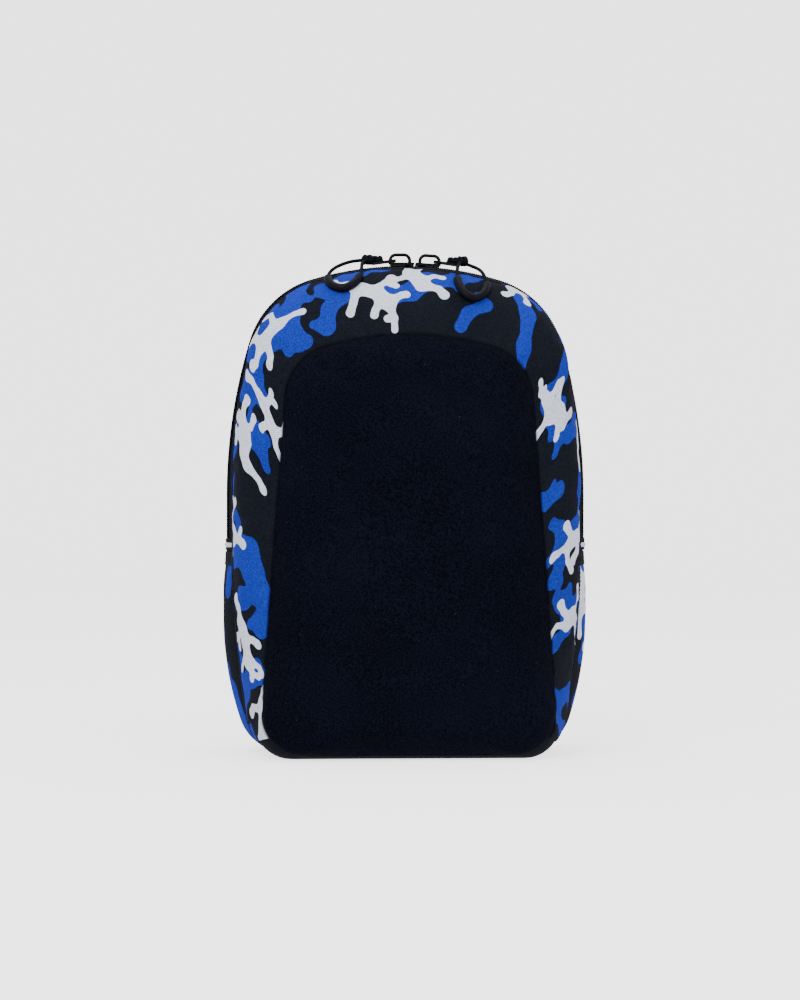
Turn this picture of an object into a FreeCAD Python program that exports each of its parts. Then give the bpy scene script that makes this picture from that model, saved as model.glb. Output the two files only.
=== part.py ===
import FreeCAD, Part
import math
import os
from FreeCAD import Vector

os.makedirs("parts", exist_ok=True)

# A small daypack, standing on its base. Sizes are millimetres.
# X runs to the right of someone facing the front, Y from front to back and Z up.
# The origin is the middle of the flat base, below the side seams of the front half.

# Outline at the crest of the zip, the widest ring of the pack
ZIP_HALF_WIDTH = 125.0
ZIP_HEIGHT = 340.0
CROWN_RADIUS = 229.0
SHOULDER_RADIUS = 64.0
SIDE_RADIUS = 369.0
LEAN_Z = 180.0
WAIST_Z = 143.0

# Levels from front to back
ZIP_CENTRE_Y = 4.0
ZIP_BAND_WIDTH = 24.0
BORDER_DEPTH = 42.0
BORDER_ROLL_DEPTH = 25.0
PANEL_CROWN = 12.5
GUSSET_DEPTH = 41.0
POCKET_CREST_DEPTH = 22.0
POCKET_REAR_DEPTH = 44.0

# How far the other outlines lie inside the crest of the zip
SEAM_IN_SIDE = 4.2
SEAM_IN_TOP = 2.4
ROLL_IN_SIDE = 12.5
ROLL_IN_TOP = 17.5
GUSSET_IN_SIDE = 3.4
GUSSET_IN_TOP = 2.4
GUSSET_BULGE = 1.5
BACK_IN_SIDE = 12.0
BACK_IN_TOP = 13.0
POCKET_OUT_SIDE = 2.6
POCKET_REAR_IN_SIDE = 0.8

# Feet of the outlines
SEAM_LOW_RADIUS = 700.0
SEAM_FOOT_RADIUS = 36.0
ROLL_LOW_RADIUS = 900.0
ROLL_FOOT_RADIUS = 24.0
POCKET_WAIST_Z = 95.0
POCKET_LOW_RADIUS = 230.0
POCKET_FOOT_RADIUS = 34.0
BELLY_SAG = 0.6

# Front panel
PANEL_IN_TOP = 52.3
PANEL_FOOT_IN = 23.2
PANEL_FLARE = 4.27
PANEL_CROWN_RADIUS = 197.0
PANEL_SHOULDER_RADIUS = 38.0
PANEL_FOOT_RADIUS = 29.0
PANEL_FLOOR_Z = 3.0
PANEL_RIM = 22.0
PANEL_RIM_STEPS = 6

# Fabrics and foams
COVER = 1.2
PANEL_PADDING = 6.5
BORDER_PADDING = 6.0
ROLL_PADDING = 8.0
RIM_PADDING = 12.0
GUSSET_THICKNESS = 3.0
WALL_THICKNESS = 2.0
POCKET_FABRIC = 1.3
POCKET_ROOM = 5.5
BASE_FABRIC = 1.5
SEAM_GAP = 0.3

# Lid, the upper part of the front that the zip frees
LID_FOLD_Z = 142.0
LID_GAP = 0.4

# Seam of the base
BASE_SEAM_FRONT_Z = 15.5
BASE_SEAM_Z = 7.0
BASE_FOAM_Z = 14.0

# Side pockets
POCKET_MOUTH_Z = 137.5
HEM_HEIGHT = 9.0
HEM_FABRIC = 0.8
HEM_MARGIN = 2.0

# Piping on the flanks
PIPING_Z = 145.0
PIPING_HEIGHT = 4.8
PIPING_STAND = 1.4
PIPING_DEPTH = 8.0

# Zip
TAPE_FABRIC = 0.8
COIL_HEIGHT = 2.2
COIL_HALF = 2.6
COIL_GAP = 0.4
ZIP_STOP_HEIGHT = 2.2
ZIP_STOP_WIDTH = 7.0
STOP_GAP = 0.3

# Slider
SLIDER_MEET_X = 6.2
SLIDER_LENGTH = 17.0
SLIDER_WIDTH = 11.0
SLIDER_PLATE = 1.6
SLIDER_CLEARANCE = 0.35
SLIDER_POST_LENGTH = 4.0
SLIDER_POST_WIDTH = 2.6
SLIDER_CORNER = 2.5
BRIDGE_WIRE = 2.4
BRIDGE_SPAN = 13.6
BRIDGE_RISE = 7.8
BRIDGE_BEND = 4.0
BRIDGE_BACKSET = 1.4
POST_MARGIN = 1.0

# Metal tab on the slider
TAB_LENGTH = 17.0
TAB_WIDTH = 8.0
TAB_THICKNESS = 1.5
TAB_INNER_HOLE = 4.2
TAB_OUTER_HOLE = 4.4
TAB_TIP_BAR = 2.0
TAB_SLOPE = 8.0

# Cord pull
CORD_DIAMETER = 2.5
GRIP_DIAMETER = 5.8
GRIP_CLEARANCE = 0.1
KNOT_RISE = 2.6
HITCH_LENGTH = 6.5
KNOT_LENGTH = 5.4
KNOT_RADIUS = 3.3
HITCH_RADIUS = 2.9
NECK_RADIUS = 1.9
HITCH_SETBACK = 1.0
BEAD_RIM = 0.72
BED_STEP = 1.0
BEND_SHARE = 0.45
PULL_GAP = 0.3
LEFT_LOOP = [
    (0.6, -1.35, None),
    (8.6, -1.4, 6.6),
    (17.0, 3.0, 5.6),
    (23.6, 10.0, 4.4),
    (27.4, 18.6, 3.6),
    (28.2, 27.6, 3.6),
    (25.2, 36.0, 3.7),
    (17.4, 40.6, 3.8),
    (9.4, 37.8, 3.8),
    (5.2, 30.0, 3.8),
    (4.6, 21.5, 3.8),
    (4.2, 12.6, 4.6),
    (3.0, 5.2, 5.0),
    (1.2, 1.5, None),
]
RIGHT_LOOP = [
    (-1.6, -1.2, None),
    (5.6, 0.0, 5.0),
    (10.6, 7.0, 4.2),
    (13.2, 15.5, 3.6),
    (14.4, 25.5, 3.6),
    (14.8, 34.8, 3.7),
    (11.4, 43.0, 3.8),
    (4.0, 46.6, 3.8),
    (-3.0, 43.6, 3.8),
    (-5.6, 35.5, 3.6),
    (-5.2, 25.6, 3.6),
    (-4.4, 17.2, 4.0),
    (-3.0, 9.0, 4.6),
    (-1.0, 1.5, None),
]
GRIP_BENDS = {"left": (5, 8), "right": (5, 8)}

# Back
BOARD_THICKNESS = 1.5
BOARD_GAP = 1.0
BACK_FOAM = 5.0
BACK_FABRIC = 1.0
BINDING_RADIAL = 3.0
PAD_HEIGHT = 8.0
PAD_RISES = [0.0, 0.45, 0.85, 1.0]
PAD_INSETS = [0.0, 0.6, 4.0, 9.0]
PAD_CORNER = 14.0
PAD_INNER_X = 14.0
PAD_OUTER_X = 64.0
PAD_BOTTOM_Z = 122.0
PAD_TOP_DROP = 55.0
LUMBAR_HALF_WIDTH = 58.0
LUMBAR_BOTTOM_Z = 42.0
LUMBAR_TOP_Z = 108.0

# Straps
STRAP_X = 42.0
STRAP_LOW_X = 78.0
STRAP_TOP_DROP = 14.0
STRAP_END_Z = 128.0
STRAP_WIDTH = 42.0
STRAP_MID_WIDTH = 50.0
STRAP_END_WIDTH = 30.0
STRAP_THICKNESS = 9.0
STRAP_SWELL = 26.0
STRAP_EDGE = 0.42
STRAP_ROOT_RADIUS = 2.2
STRAP_BOW = 30.0
STRAP_END_OUT = 11.0
STRAP_STEPS = 8
SPLAY_POWER = 1.4
BOW_POWER = 0.75
TAPER_POWER = 0.8
SEAT_GAP = 0.4
WEBBING_WIDTH = 20.0
WEBBING_THICKNESS = 1.4
LOCK_LENGTH = 26.0
LOCK_WIDTH = 28.0
LOCK_THICKNESS = 4.4
LOCK_BAR = 3.4
TAIL_LENGTH = 46.0
TAIL_MIDDLE_OUT = 3.0
TAIL_END_OUT = 1.0
WING_Z = 50.0
WING_HEIGHT = 34.0
WING_REACH = 26.0
WING_LAP = 12.0
WING_MARGIN = 2.0
WING_INSET = 1.0
WING_THICKNESS = 2.0

# Yoke and handle
YOKE_HALF_WIDTH = 66.0
YOKE_HEIGHT = 10.4
YOKE_INSET = 1.0
YOKE_THICKNESS = 1.4
HANDLE_HALF_SPAN = 14.5
HANDLE_DROP = 38.0
HANDLE_BEND = 12.0
HANDLE_WIDTH = 8.0
HANDLE_THICKNESS = 3.6
HANDLE_TOP_DROP = 6.0

# Levels and sizes worked out from those above
border_back_y = ZIP_CENTRE_Y - ZIP_BAND_WIDTH / 2
panel_seam_y = border_back_y - BORDER_DEPTH
roll_y = border_back_y - BORDER_ROLL_DEPTH
panel_front_y = panel_seam_y - PANEL_CROWN
gusset_front_y = ZIP_CENTRE_Y + ZIP_BAND_WIDTH / 2
back_seam_y = gusset_front_y + GUSSET_DEPTH
pocket_crest_y = border_back_y + POCKET_CREST_DEPTH
pocket_rear_y = border_back_y + POCKET_REAR_DEPTH
back_foam_y = back_seam_y + BACK_FOAM
back_face_y = back_foam_y + BACK_FABRIC
wall_inset = POCKET_FABRIC + POCKET_ROOM
piping_low_z = PIPING_Z - PIPING_HEIGHT / 2
piping_high_z = PIPING_Z + PIPING_HEIGHT / 2
back_top_z = ZIP_HEIGHT - BACK_IN_TOP
pad_top_z = back_top_z - PAD_TOP_DROP
strap_top_z = back_top_z - STRAP_TOP_DROP
handle_z = back_top_z - HANDLE_TOP_DROP
lid_low_z = LID_FOLD_Z + LID_GAP / 2
bag_high_z = LID_FOLD_Z - LID_GAP / 2
BIG = 1000.0


def save(shape, name):
    if shape.ShapeType == "Compound" and len(shape.Solids) == 1:
        shape = shape.Solids[0]
    shape.exportStep("parts/" + name + ".step")


def mirrored(shape):
    return shape.mirror(Vector(0, 0, 0), Vector(1, 0, 0))


def box(x0, x1, y0, y1, z0, z1):
    return Part.makeBox(x1 - x0, y1 - y0, z1 - z0, Vector(x0, y0, z0))


def between_z(shape, z0, z1):
    return shape.common(box(-BIG, BIG, -BIG, BIG, z0, z1))


def right_side(shape):
    return shape.common(box(0, BIG, -BIG, BIG, -BIG, BIG))


def point(x, y, z):
    return Vector(x, y, z)


# Outlines. Each is a list of points from floor to crown on the right side, each with the centre of the
# arc that leads to it, or None for a straight run.
def arc_between(start, end, centre):
    radius = (start - centre).Length
    middle = (start - centre).normalize() + (end - centre).normalize()
    return Part.Arc(start, centre + middle.normalize() * radius, end).toShape()


def closed_outline(y, half, crown_centre):
    def at(pair, side):
        return point(side * pair[0], y, pair[1])

    edges = [Part.LineSegment(at(half[0][0], -1), at(half[0][0], 1)).toShape()]
    for (start, _), (end, centre) in zip(half, half[1:]):
        if centre is None:
            edges.append(Part.LineSegment(at(start, 1), at(end, 1)).toShape())
        else:
            edges.append(arc_between(at(start, 1), at(end, 1), at(centre, 1)))
    top = half[-1][0]
    edges.append(arc_between(at(top, 1), at(top, -1), point(0, y, crown_centre)))
    for (start, _), (end, centre) in reversed(list(zip(half, half[1:]))):
        if centre is None:
            edges.append(Part.LineSegment(at(end, -1), at(start, -1)).toShape())
        else:
            edges.append(arc_between(at(end, -1), at(start, -1), at(centre, -1)))
    return Part.Wire(edges)


def beyond(centre, other, radius):
    """The point on the circle about centre, on the ray from centre through other."""
    reach = math.dist(centre, other)
    return tuple(c + (o - c) * radius / reach for c, o in zip(centre, other))


class Arch:
    """An outline with a crowned top, rounded shoulders, leaning sides and rounded feet."""

    def __init__(self, in_side, in_top, shoulder, side, waist_z, low, foot):
        self.half_width = ZIP_HALF_WIDTH - in_side
        self.height = ZIP_HEIGHT - in_top
        self.crown = CROWN_RADIUS - in_top
        self.shoulder = shoulder
        self.side = side
        self.waist_z = waist_z
        self.low = low
        self.foot = foot

    def wire(self, y, inset=0.0):
        width, height = self.half_width - inset, self.height - inset
        crown, shoulder, side = self.crown - inset, self.shoulder - inset, self.side - inset
        low, foot, floor = self.low - inset, self.foot - inset, inset - BELLY_SAG
        crown_at = (0.0, height - crown)
        side_at = (width - side, LEAN_Z)
        apart = math.dist(crown_at, side_at)
        along = ((crown - shoulder) ** 2 - (side - shoulder) ** 2 + apart**2) / (2 * apart)
        across = math.sqrt((crown - shoulder) ** 2 - along**2)
        ux, uz = (side_at[0] - crown_at[0]) / apart, (side_at[1] - crown_at[1]) / apart
        shoulder_at = (crown_at[0] + along * ux + across * uz, crown_at[1] + along * uz - across * ux)
        low_at = (width - low, self.waist_z)
        foot_z = floor + foot
        foot_at = (low_at[0] + math.sqrt((low - foot) ** 2 - (foot_z - self.waist_z) ** 2), foot_z)
        half = [
            ((foot_at[0], floor), None),
            (beyond(low_at, foot_at, low), foot_at),
            ((width, self.waist_z), low_at),
            ((width, LEAN_Z), None),
            (beyond(side_at, shoulder_at, side), side_at),
            (beyond(crown_at, shoulder_at, crown), shoulder_at),
        ]
        return closed_outline(y, half, crown_at[1])


class Tombstone:
    """The front panel's outline: a crowned top, rounded shoulders and straight sides that flare out."""

    def wire(self, y, inset=0.0):
        lean = math.radians(PANEL_FLARE)
        nx, nz = math.cos(lean), math.sin(lean)
        foot_x = ZIP_HALF_WIDTH - PANEL_FOOT_IN
        reach = foot_x * nx + PANEL_FLOOR_Z * nz - inset
        crown = PANEL_CROWN_RADIUS - inset
        crown_z = ZIP_HEIGHT - PANEL_IN_TOP - PANEL_CROWN_RADIUS
        shoulder = max(PANEL_SHOULDER_RADIUS - inset, PANEL_SHOULDER_RADIUS / 3)
        foot = max(PANEL_FOOT_RADIUS - inset, PANEL_FOOT_RADIUS / 3)
        floor = PANEL_FLOOR_Z + inset
        out = reach - shoulder - crown_z * nz
        up = math.sqrt((crown - shoulder) ** 2 - out**2)
        shoulder_at = (out * nx - up * nz, crown_z + out * nz + up * nx)
        foot_at = ((reach - foot - (floor + foot) * nz) / nx, floor + foot)

        def on_side(z):
            return ((reach - z * nz) / nx, z)

        half = [
            ((foot_at[0], floor), None),
            ((foot_at[0] + foot * nx, foot_at[1] + foot * nz), foot_at),
            (on_side(WAIST_Z), None),
            (on_side(LEAN_Z), None),
            ((shoulder_at[0] + shoulder * nx, shoulder_at[1] + shoulder * nz), None),
            (beyond((0.0, crown_z), shoulder_at, crown), shoulder_at),
        ]
        return closed_outline(y, half, crown_z)


zip_crest = Arch(0, 0, SHOULDER_RADIUS, SIDE_RADIUS, WAIST_Z, SEAM_LOW_RADIUS, SEAM_FOOT_RADIUS)
front_seam = Arch(
    SEAM_IN_SIDE, SEAM_IN_TOP, SHOULDER_RADIUS, SIDE_RADIUS, WAIST_Z, SEAM_LOW_RADIUS, SEAM_FOOT_RADIUS
)
roll = Arch(
    ROLL_IN_SIDE, ROLL_IN_TOP, SHOULDER_RADIUS - ROLL_IN_SIDE, 2 * SIDE_RADIUS, WAIST_Z,
    ROLL_LOW_RADIUS, ROLL_FOOT_RADIUS,
)
panel = Tombstone()
gusset_front = Arch(
    GUSSET_IN_SIDE, GUSSET_IN_TOP, SHOULDER_RADIUS, SIDE_RADIUS, WAIST_Z,
    SEAM_LOW_RADIUS, SEAM_FOOT_RADIUS,
)
back_seam = Arch(
    BACK_IN_SIDE, BACK_IN_TOP, SHOULDER_RADIUS - BACK_IN_SIDE / 2, SIDE_RADIUS, POCKET_WAIST_Z,
    POCKET_LOW_RADIUS, POCKET_FOOT_RADIUS,
)
pocket_crest = Arch(
    -POCKET_OUT_SIDE, SEAM_IN_TOP, SHOULDER_RADIUS, SIDE_RADIUS, POCKET_WAIST_Z,
    POCKET_LOW_RADIUS, POCKET_FOOT_RADIUS,
)
pocket_rear = Arch(
    POCKET_REAR_IN_SIDE, SEAM_IN_TOP, SHOULDER_RADIUS, SIDE_RADIUS, POCKET_WAIST_Z,
    POCKET_LOW_RADIUS, POCKET_FOOT_RADIUS,
)
gusset_middle = Arch(
    (GUSSET_IN_SIDE + BACK_IN_SIDE) / 2 - GUSSET_BULGE, (GUSSET_IN_TOP + BACK_IN_TOP) / 2 - GUSSET_BULGE,
    SHOULDER_RADIUS, SIDE_RADIUS, POCKET_WAIST_Z, POCKET_LOW_RADIUS, POCKET_FOOT_RADIUS,
)


def loft(sections, straight=False):
    """A solid through outlines: each section is an outline, its level along Y and how far it is inset."""
    return Part.makeLoft([shape.wire(y, inset) for shape, y, inset in sections], True, straight)


def shell(sections, outer, inner, straight=False):
    """A tube whose wall lies between two insets of the same outlines, one pair for each section."""
    out = loft([(shape, y, deep) for (shape, y), deep in zip(sections, outer)], straight)
    core = loft([(shape, y, deep) for (shape, y), deep in zip(sections, inner)], straight)
    return out.cut(core)


def even(value, sections):
    return [value] * len(sections)


# Front half: border, front panel and the front of the base
front_sections = [(front_seam, border_back_y), (roll, roll_y), (panel, panel_seam_y)]
padding = [BORDER_PADDING, ROLL_PADDING, RIM_PADDING]


def seam_wedge():
    """Everything below the seam of the base, which rises towards the front."""
    corners = [
        (-BIG, BASE_SEAM_FRONT_Z),
        (panel_seam_y, BASE_SEAM_FRONT_Z),
        (border_back_y, BASE_SEAM_Z),
        (BIG, BASE_SEAM_Z),
        (BIG, -BIG),
        (-BIG, -BIG),
    ]
    wire = Part.makePolygon([point(-BIG, y, z) for y, z in corners + corners[:1]])
    return Part.Face(wire).extrude(Vector(2 * BIG, 0, 0))


below_seam = seam_wedge()


def border_layers():
    cover = shell(front_sections, even(0, front_sections), even(COVER, front_sections))
    foam = shell(front_sections, even(COVER, front_sections), padding)
    return cover, foam


def dome(outset, deep):
    """The crowned front panel, drawn in by outset and pushed back by deep."""
    wires = []
    for n in range(PANEL_RIM_STEPS + 1):
        turn = math.pi / 2 * n / PANEL_RIM_STEPS
        level = panel_seam_y - (PANEL_CROWN - deep) * math.sin(turn)
        wires.append(panel.wire(level, outset + PANEL_RIM * (1 - math.cos(turn))))
    return Part.makeLoft(wires, True, True)


def panel_layers():
    outside = dome(0, 0)
    under_cover = dome(COVER, COVER)
    hollow = dome(RIM_PADDING, PANEL_PADDING)
    return outside.cut(under_cover), under_cover.cut(hollow)


# Rear half: side walls, pockets and the rear of the base
rear_sections = [
    (front_seam, border_back_y),
    (pocket_crest, pocket_crest_y),
    (pocket_rear, pocket_rear_y),
    (back_seam, back_seam_y),
]
wall_depths = [POCKET_FABRIC + SEAM_GAP, wall_inset, wall_inset, POCKET_FABRIC + SEAM_GAP]


def base_pieces():
    rear = shell(rear_sections, even(0, rear_sections), even(BASE_FABRIC, rear_sections))
    front = shell(front_sections, even(0, front_sections), even(BASE_FABRIC, front_sections))
    fabric = rear.common(below_seam).fuse(front.common(below_seam))
    filled = [depth + WALL_THICKNESS for depth in wall_depths]
    rear_foam = shell(rear_sections, even(BASE_FABRIC, rear_sections), filled)
    front_foam = shell(front_sections, even(BASE_FABRIC, front_sections), padding)
    foam = between_z(rear_foam, 0, BASE_FOAM_Z).fuse(front_foam.common(below_seam))
    return between_z(fabric, 0, BIG).removeSplitter(), foam.removeSplitter()


def side_wall():
    filled = [depth + WALL_THICKNESS for depth in wall_depths]
    walls = shell(rear_sections, wall_depths, filled)
    return right_side(between_z(walls, BASE_FOAM_Z, piping_low_z))


def side_pocket():
    cloth = shell(rear_sections, even(0, rear_sections), even(POCKET_FABRIC, rear_sections))
    return right_side(between_z(cloth.cut(below_seam), 0, POCKET_MOUTH_Z))


def pocket_hem():
    """Elastic binding on the outside of the pocket's mouth, between its two seams."""
    cloth = shell(rear_sections, even(-HEM_FABRIC, rear_sections), even(0, rear_sections))
    band = right_side(between_z(cloth, POCKET_MOUTH_Z - HEM_HEIGHT, POCKET_MOUTH_Z))
    return band.common(box(0, BIG, border_back_y + HEM_MARGIN, back_seam_y - HEM_MARGIN, 0, BIG))


def side_piping():
    sections = [
        (front_seam, border_back_y + SEAM_GAP),
        (zip_crest, ZIP_CENTRE_Y),
        (gusset_front, gusset_front_y + PIPING_HEIGHT),
        (back_seam, back_seam_y),
    ]
    stand = [-SEAM_GAP, -PIPING_STAND, -PIPING_STAND, -SEAM_GAP]
    strip = shell(sections, stand, even(PIPING_DEPTH, sections))
    return right_side(between_z(strip, piping_low_z, piping_high_z))


# Zip: two tapes and two rows of coil round the crown
def tape(seam, y_edge, way):
    """One tape, from its seam to the room of the sliders' posts. It lies flat where the sliders run."""
    y_flat = ZIP_CENTRE_Y + way * (SLIDER_WIDTH / 2 + SLIDER_CLEARANCE)
    y_inner = ZIP_CENTRE_Y + way * (SLIDER_POST_WIDTH / 2 + SLIDER_CLEARANCE)
    sections = [(seam, y_edge), (zip_crest, y_flat), (zip_crest, y_inner)]
    outer = [COVER, COIL_HEIGHT, COIL_HEIGHT]
    inner = [depth + TAPE_FABRIC for depth in outer]
    return between_z(shell(sections, outer, inner, True), piping_high_z, BIG)


def coil(y0, y1):
    sections = [(zip_crest, y0), (zip_crest, y1)]
    row = shell(sections, even(0, sections), even(COIL_HEIGHT, sections))
    low = piping_high_z + ZIP_STOP_HEIGHT + STOP_GAP
    return between_z(row, low, BIG).cut(slider_posts())


def zip_stops():
    y0 = ZIP_CENTRE_Y - ZIP_STOP_WIDTH / 2
    sections = [(zip_crest, y0), (zip_crest, y0 + ZIP_STOP_WIDTH)]
    ring = shell(sections, even(0, sections), even(COIL_HEIGHT, sections))
    return between_z(ring, piping_high_z, piping_high_z + ZIP_STOP_HEIGHT)


# Sliders, tabs and cord pulls. Each is drawn on the crest above the crown's centre, then turned to its place.
crown_centre_z = ZIP_HEIGHT - CROWN_RADIUS
slider_centre = {
    "left": SLIDER_MEET_X - SLIDER_CLEARANCE - SLIDER_LENGTH / 2,
    "right": SLIDER_MEET_X + SLIDER_CLEARANCE + SLIDER_LENGTH / 2,
}
outward = {"left": -1, "right": 1}
plate_low_z = ZIP_HEIGHT + SLIDER_CLEARANCE
plate_top_z = plate_low_z + SLIDER_PLATE
sole_top_z = ZIP_HEIGHT - COIL_HEIGHT - TAPE_FABRIC - SLIDER_CLEARANCE


def on_crown(shape, side):
    """Turns a piece drawn above the crown's centre to its slider's place on the crown."""
    tilt = math.degrees(math.asin(slider_centre[side] / CROWN_RADIUS))
    turned = shape.copy()
    turned.rotate(point(0, ZIP_CENTRE_Y, crown_centre_z), Vector(0, 1, 0), tilt)
    return turned


def slider_post(side):
    at = -outward[side] * (SLIDER_LENGTH / 2 - SLIDER_CORNER - SLIDER_POST_LENGTH / 2)
    x0 = at - SLIDER_POST_LENGTH / 2
    y0 = ZIP_CENTRE_Y - SLIDER_POST_WIDTH / 2
    return box(x0, x0 + SLIDER_POST_LENGTH, y0, y0 + SLIDER_POST_WIDTH, sole_top_z, plate_low_z)


def slider_posts():
    """The room that the sliders' posts need between the two rows of coil."""
    rooms = []
    for side in outward:
        post = slider_post(side).BoundBox
        gap = SLIDER_CLEARANCE
        room = box(post.XMin - gap, post.XMax + gap, post.YMin - gap, post.YMax + gap,
                   post.ZMin - POST_MARGIN, post.ZMax + POST_MARGIN)
        rooms.append(on_crown(room, side))
    return Part.makeCompound(rooms)


def rounded_plate(length, width, z0, z1, corner):
    plate = box(-length / 2, length / 2, ZIP_CENTRE_Y - width / 2, ZIP_CENTRE_Y + width / 2, z0, z1)
    upright = [edge for edge in plate.Edges if abs(edge.Vertexes[0].Z - edge.Vertexes[1].Z) > 0.1]
    return plate.makeFillet(corner, upright)


def pipe(path, radius):
    """A round bar along a wire."""
    first = path.Edges[0]
    start = first.valueAt(first.FirstParameter)
    heading = first.tangentAt(first.FirstParameter)
    ring = Part.Wire([Part.Circle(start, heading, radius).toShape()])
    maker = Part.BRepOffsetAPI.MakePipeShell(path)
    maker.add(ring)
    maker.setTransitionMode(0)
    maker.build()
    maker.makeSolid()
    return maker.shape()


def rounded_path(points, bends):
    """Straight runs through points, joined by tangent arcs of the given radii."""
    edges = []
    start = points[0]
    for before, corner, after, radius in zip(points, points[1:], points[2:], bends):
        coming = (before - corner).normalize()
        going = (after - corner).normalize()
        half_turn = (math.pi - coming.getAngle(going)) / 2
        back = radius * math.tan(half_turn)
        first, last = corner + coming * back, corner + going * back
        centre = corner + (coming + going).normalize() * (radius / math.cos(half_turn))
        edges.append(Part.LineSegment(start, first).toShape())
        edges.append(arc_between(first, last, centre))
        start = last
    edges.append(Part.LineSegment(start, points[-1]).toShape())
    return edges


def slider(side):
    top = rounded_plate(SLIDER_LENGTH, SLIDER_WIDTH, plate_low_z, plate_top_z, SLIDER_CORNER)
    sole = rounded_plate(SLIDER_LENGTH, SLIDER_WIDTH, sole_top_z - SLIDER_PLATE, sole_top_z, SLIDER_CORNER)
    low = plate_top_z - SLIDER_PLATE / 2
    high = ZIP_HEIGHT + BRIDGE_RISE
    middle = outward[side] * BRIDGE_BACKSET
    corners = [
        point(middle + x, ZIP_CENTRE_Y, z)
        for x, z in (
            (-BRIDGE_SPAN / 2, low),
            (-BRIDGE_SPAN / 2, high),
            (BRIDGE_SPAN / 2, high),
            (BRIDGE_SPAN / 2, low),
        )
    ]
    bridge = pipe(Part.Wire(rounded_path(corners, [BRIDGE_BEND] * 2)), BRIDGE_WIRE / 2)
    return on_crown(top.fuse([sole, slider_post(side), bridge]), side)


def tab_pivot(side):
    """The middle of the bridge's outer bend, before the slider is turned to its place."""
    x = outward[side] * (BRIDGE_BACKSET + BRIDGE_SPAN / 2 - BRIDGE_BEND)
    return point(x, ZIP_CENTRE_Y, ZIP_HEIGHT + BRIDGE_RISE - BRIDGE_BEND)


def pivot_on_crown(side):
    return on_crown(Part.Vertex(tab_pivot(side)), side).Point


def metal_tab(side):
    """A flat tab whose inner hole goes round the bridge's bend, so that it turns about the bend's centre."""
    pivot = pivot_on_crown(side)
    way = outward[side]
    y0 = ZIP_CENTRE_Y - TAB_WIDTH / 2
    low = pivot.z - TAB_THICKNESS / 2
    far = max(pivot.x, pivot.x + way * TAB_LENGTH)
    near = min(pivot.x, pivot.x + way * TAB_LENGTH)
    plate = box(near, far, y0, y0 + TAB_WIDTH, low, low + TAB_THICKNESS)
    upright = [edge for edge in plate.Edges if abs(edge.Vertexes[0].Z - edge.Vertexes[1].Z) > 0.1]
    plate = plate.makeFillet(TAB_WIDTH / 4, upright)
    inner_x = pivot.x + way * BRIDGE_BEND
    outer_x = pivot.x + way * (TAB_LENGTH - TAB_TIP_BAR - TAB_OUTER_HOLE / 2)
    for x, size in ((inner_x, TAB_INNER_HOLE), (outer_x, TAB_OUTER_HOLE)):
        hole = Part.makeCylinder(size / 2, 3 * TAB_THICKNESS, point(x, ZIP_CENTRE_Y, low - TAB_THICKNESS))
        plate = plate.cut(hole)
    plate.rotate(pivot, Vector(0, way, 0), TAB_SLOPE)
    return plate


def pull_axis_z(side):
    drop = (TAB_LENGTH - TAB_TIP_BAR) * math.sin(math.radians(TAB_SLOPE))
    return pivot_on_crown(side).z - drop + KNOT_RISE


def hitch_end_x(side):
    return pivot_on_crown(side).x + outward[side] * TAB_LENGTH


def cord_hitch(side):
    """The cord's hitch on the tab: a bead over the tab's outer half and a ring through its outer hole."""
    way = outward[side]
    end = hitch_end_x(side)
    z = pull_axis_z(side)
    bead = bead_along_x(end - way * HITCH_LENGTH, end - way * HITCH_SETBACK, HITCH_RADIUS, z)
    neck = Part.makeCylinder(NECK_RADIUS, HITCH_LENGTH, point(end - way * HITCH_LENGTH, ZIP_CENTRE_Y, z),
                             Vector(way, 0, 0))
    return bead.fuse(neck).cut(metal_tab(side))


def bead_along_x(x0, x1, radius, z):
    """A rounded barrel along X with flat ends."""
    start, end = min(x0, x1), max(x0, x1)
    middle = (start + end) / 2
    rim = radius * BEAD_RIM
    profile = [
        Part.LineSegment(point(start, ZIP_CENTRE_Y, z), point(start, ZIP_CENTRE_Y, z + rim)).toShape(),
        Part.Arc(
            point(start, ZIP_CENTRE_Y, z + rim),
            point(middle, ZIP_CENTRE_Y, z + radius),
            point(end, ZIP_CENTRE_Y, z + rim),
        ).toShape(),
        Part.LineSegment(point(end, ZIP_CENTRE_Y, z + rim), point(end, ZIP_CENTRE_Y, z)).toShape(),
        Part.LineSegment(point(end, ZIP_CENTRE_Y, z), point(start, ZIP_CENTRE_Y, z)).toShape(),
    ]
    face = Part.Face(Part.Wire(profile))
    return face.revolve(point(0, ZIP_CENTRE_Y, z), Vector(1, 0, 0), 360)


def pull_knot(side):
    start = hitch_end_x(side) + outward[side] * PULL_GAP
    z = pull_axis_z(side)
    return bead_along_x(start, start + outward[side] * KNOT_LENGTH, KNOT_RADIUS, z)


def crown_bed():
    """The rounded surface in front of the zip, which the loops lie on."""
    return loft([(zip_crest, ZIP_CENTRE_Y, 0)] + [(shape, y, 0) for shape, y in front_sections])


def bed_height(bed, x, y):
    upright = Part.makeLine(point(x, y, ZIP_HEIGHT / 2), point(x, y, 2 * ZIP_HEIGHT))
    return bed.common(upright).BoundBox.ZMax


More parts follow.
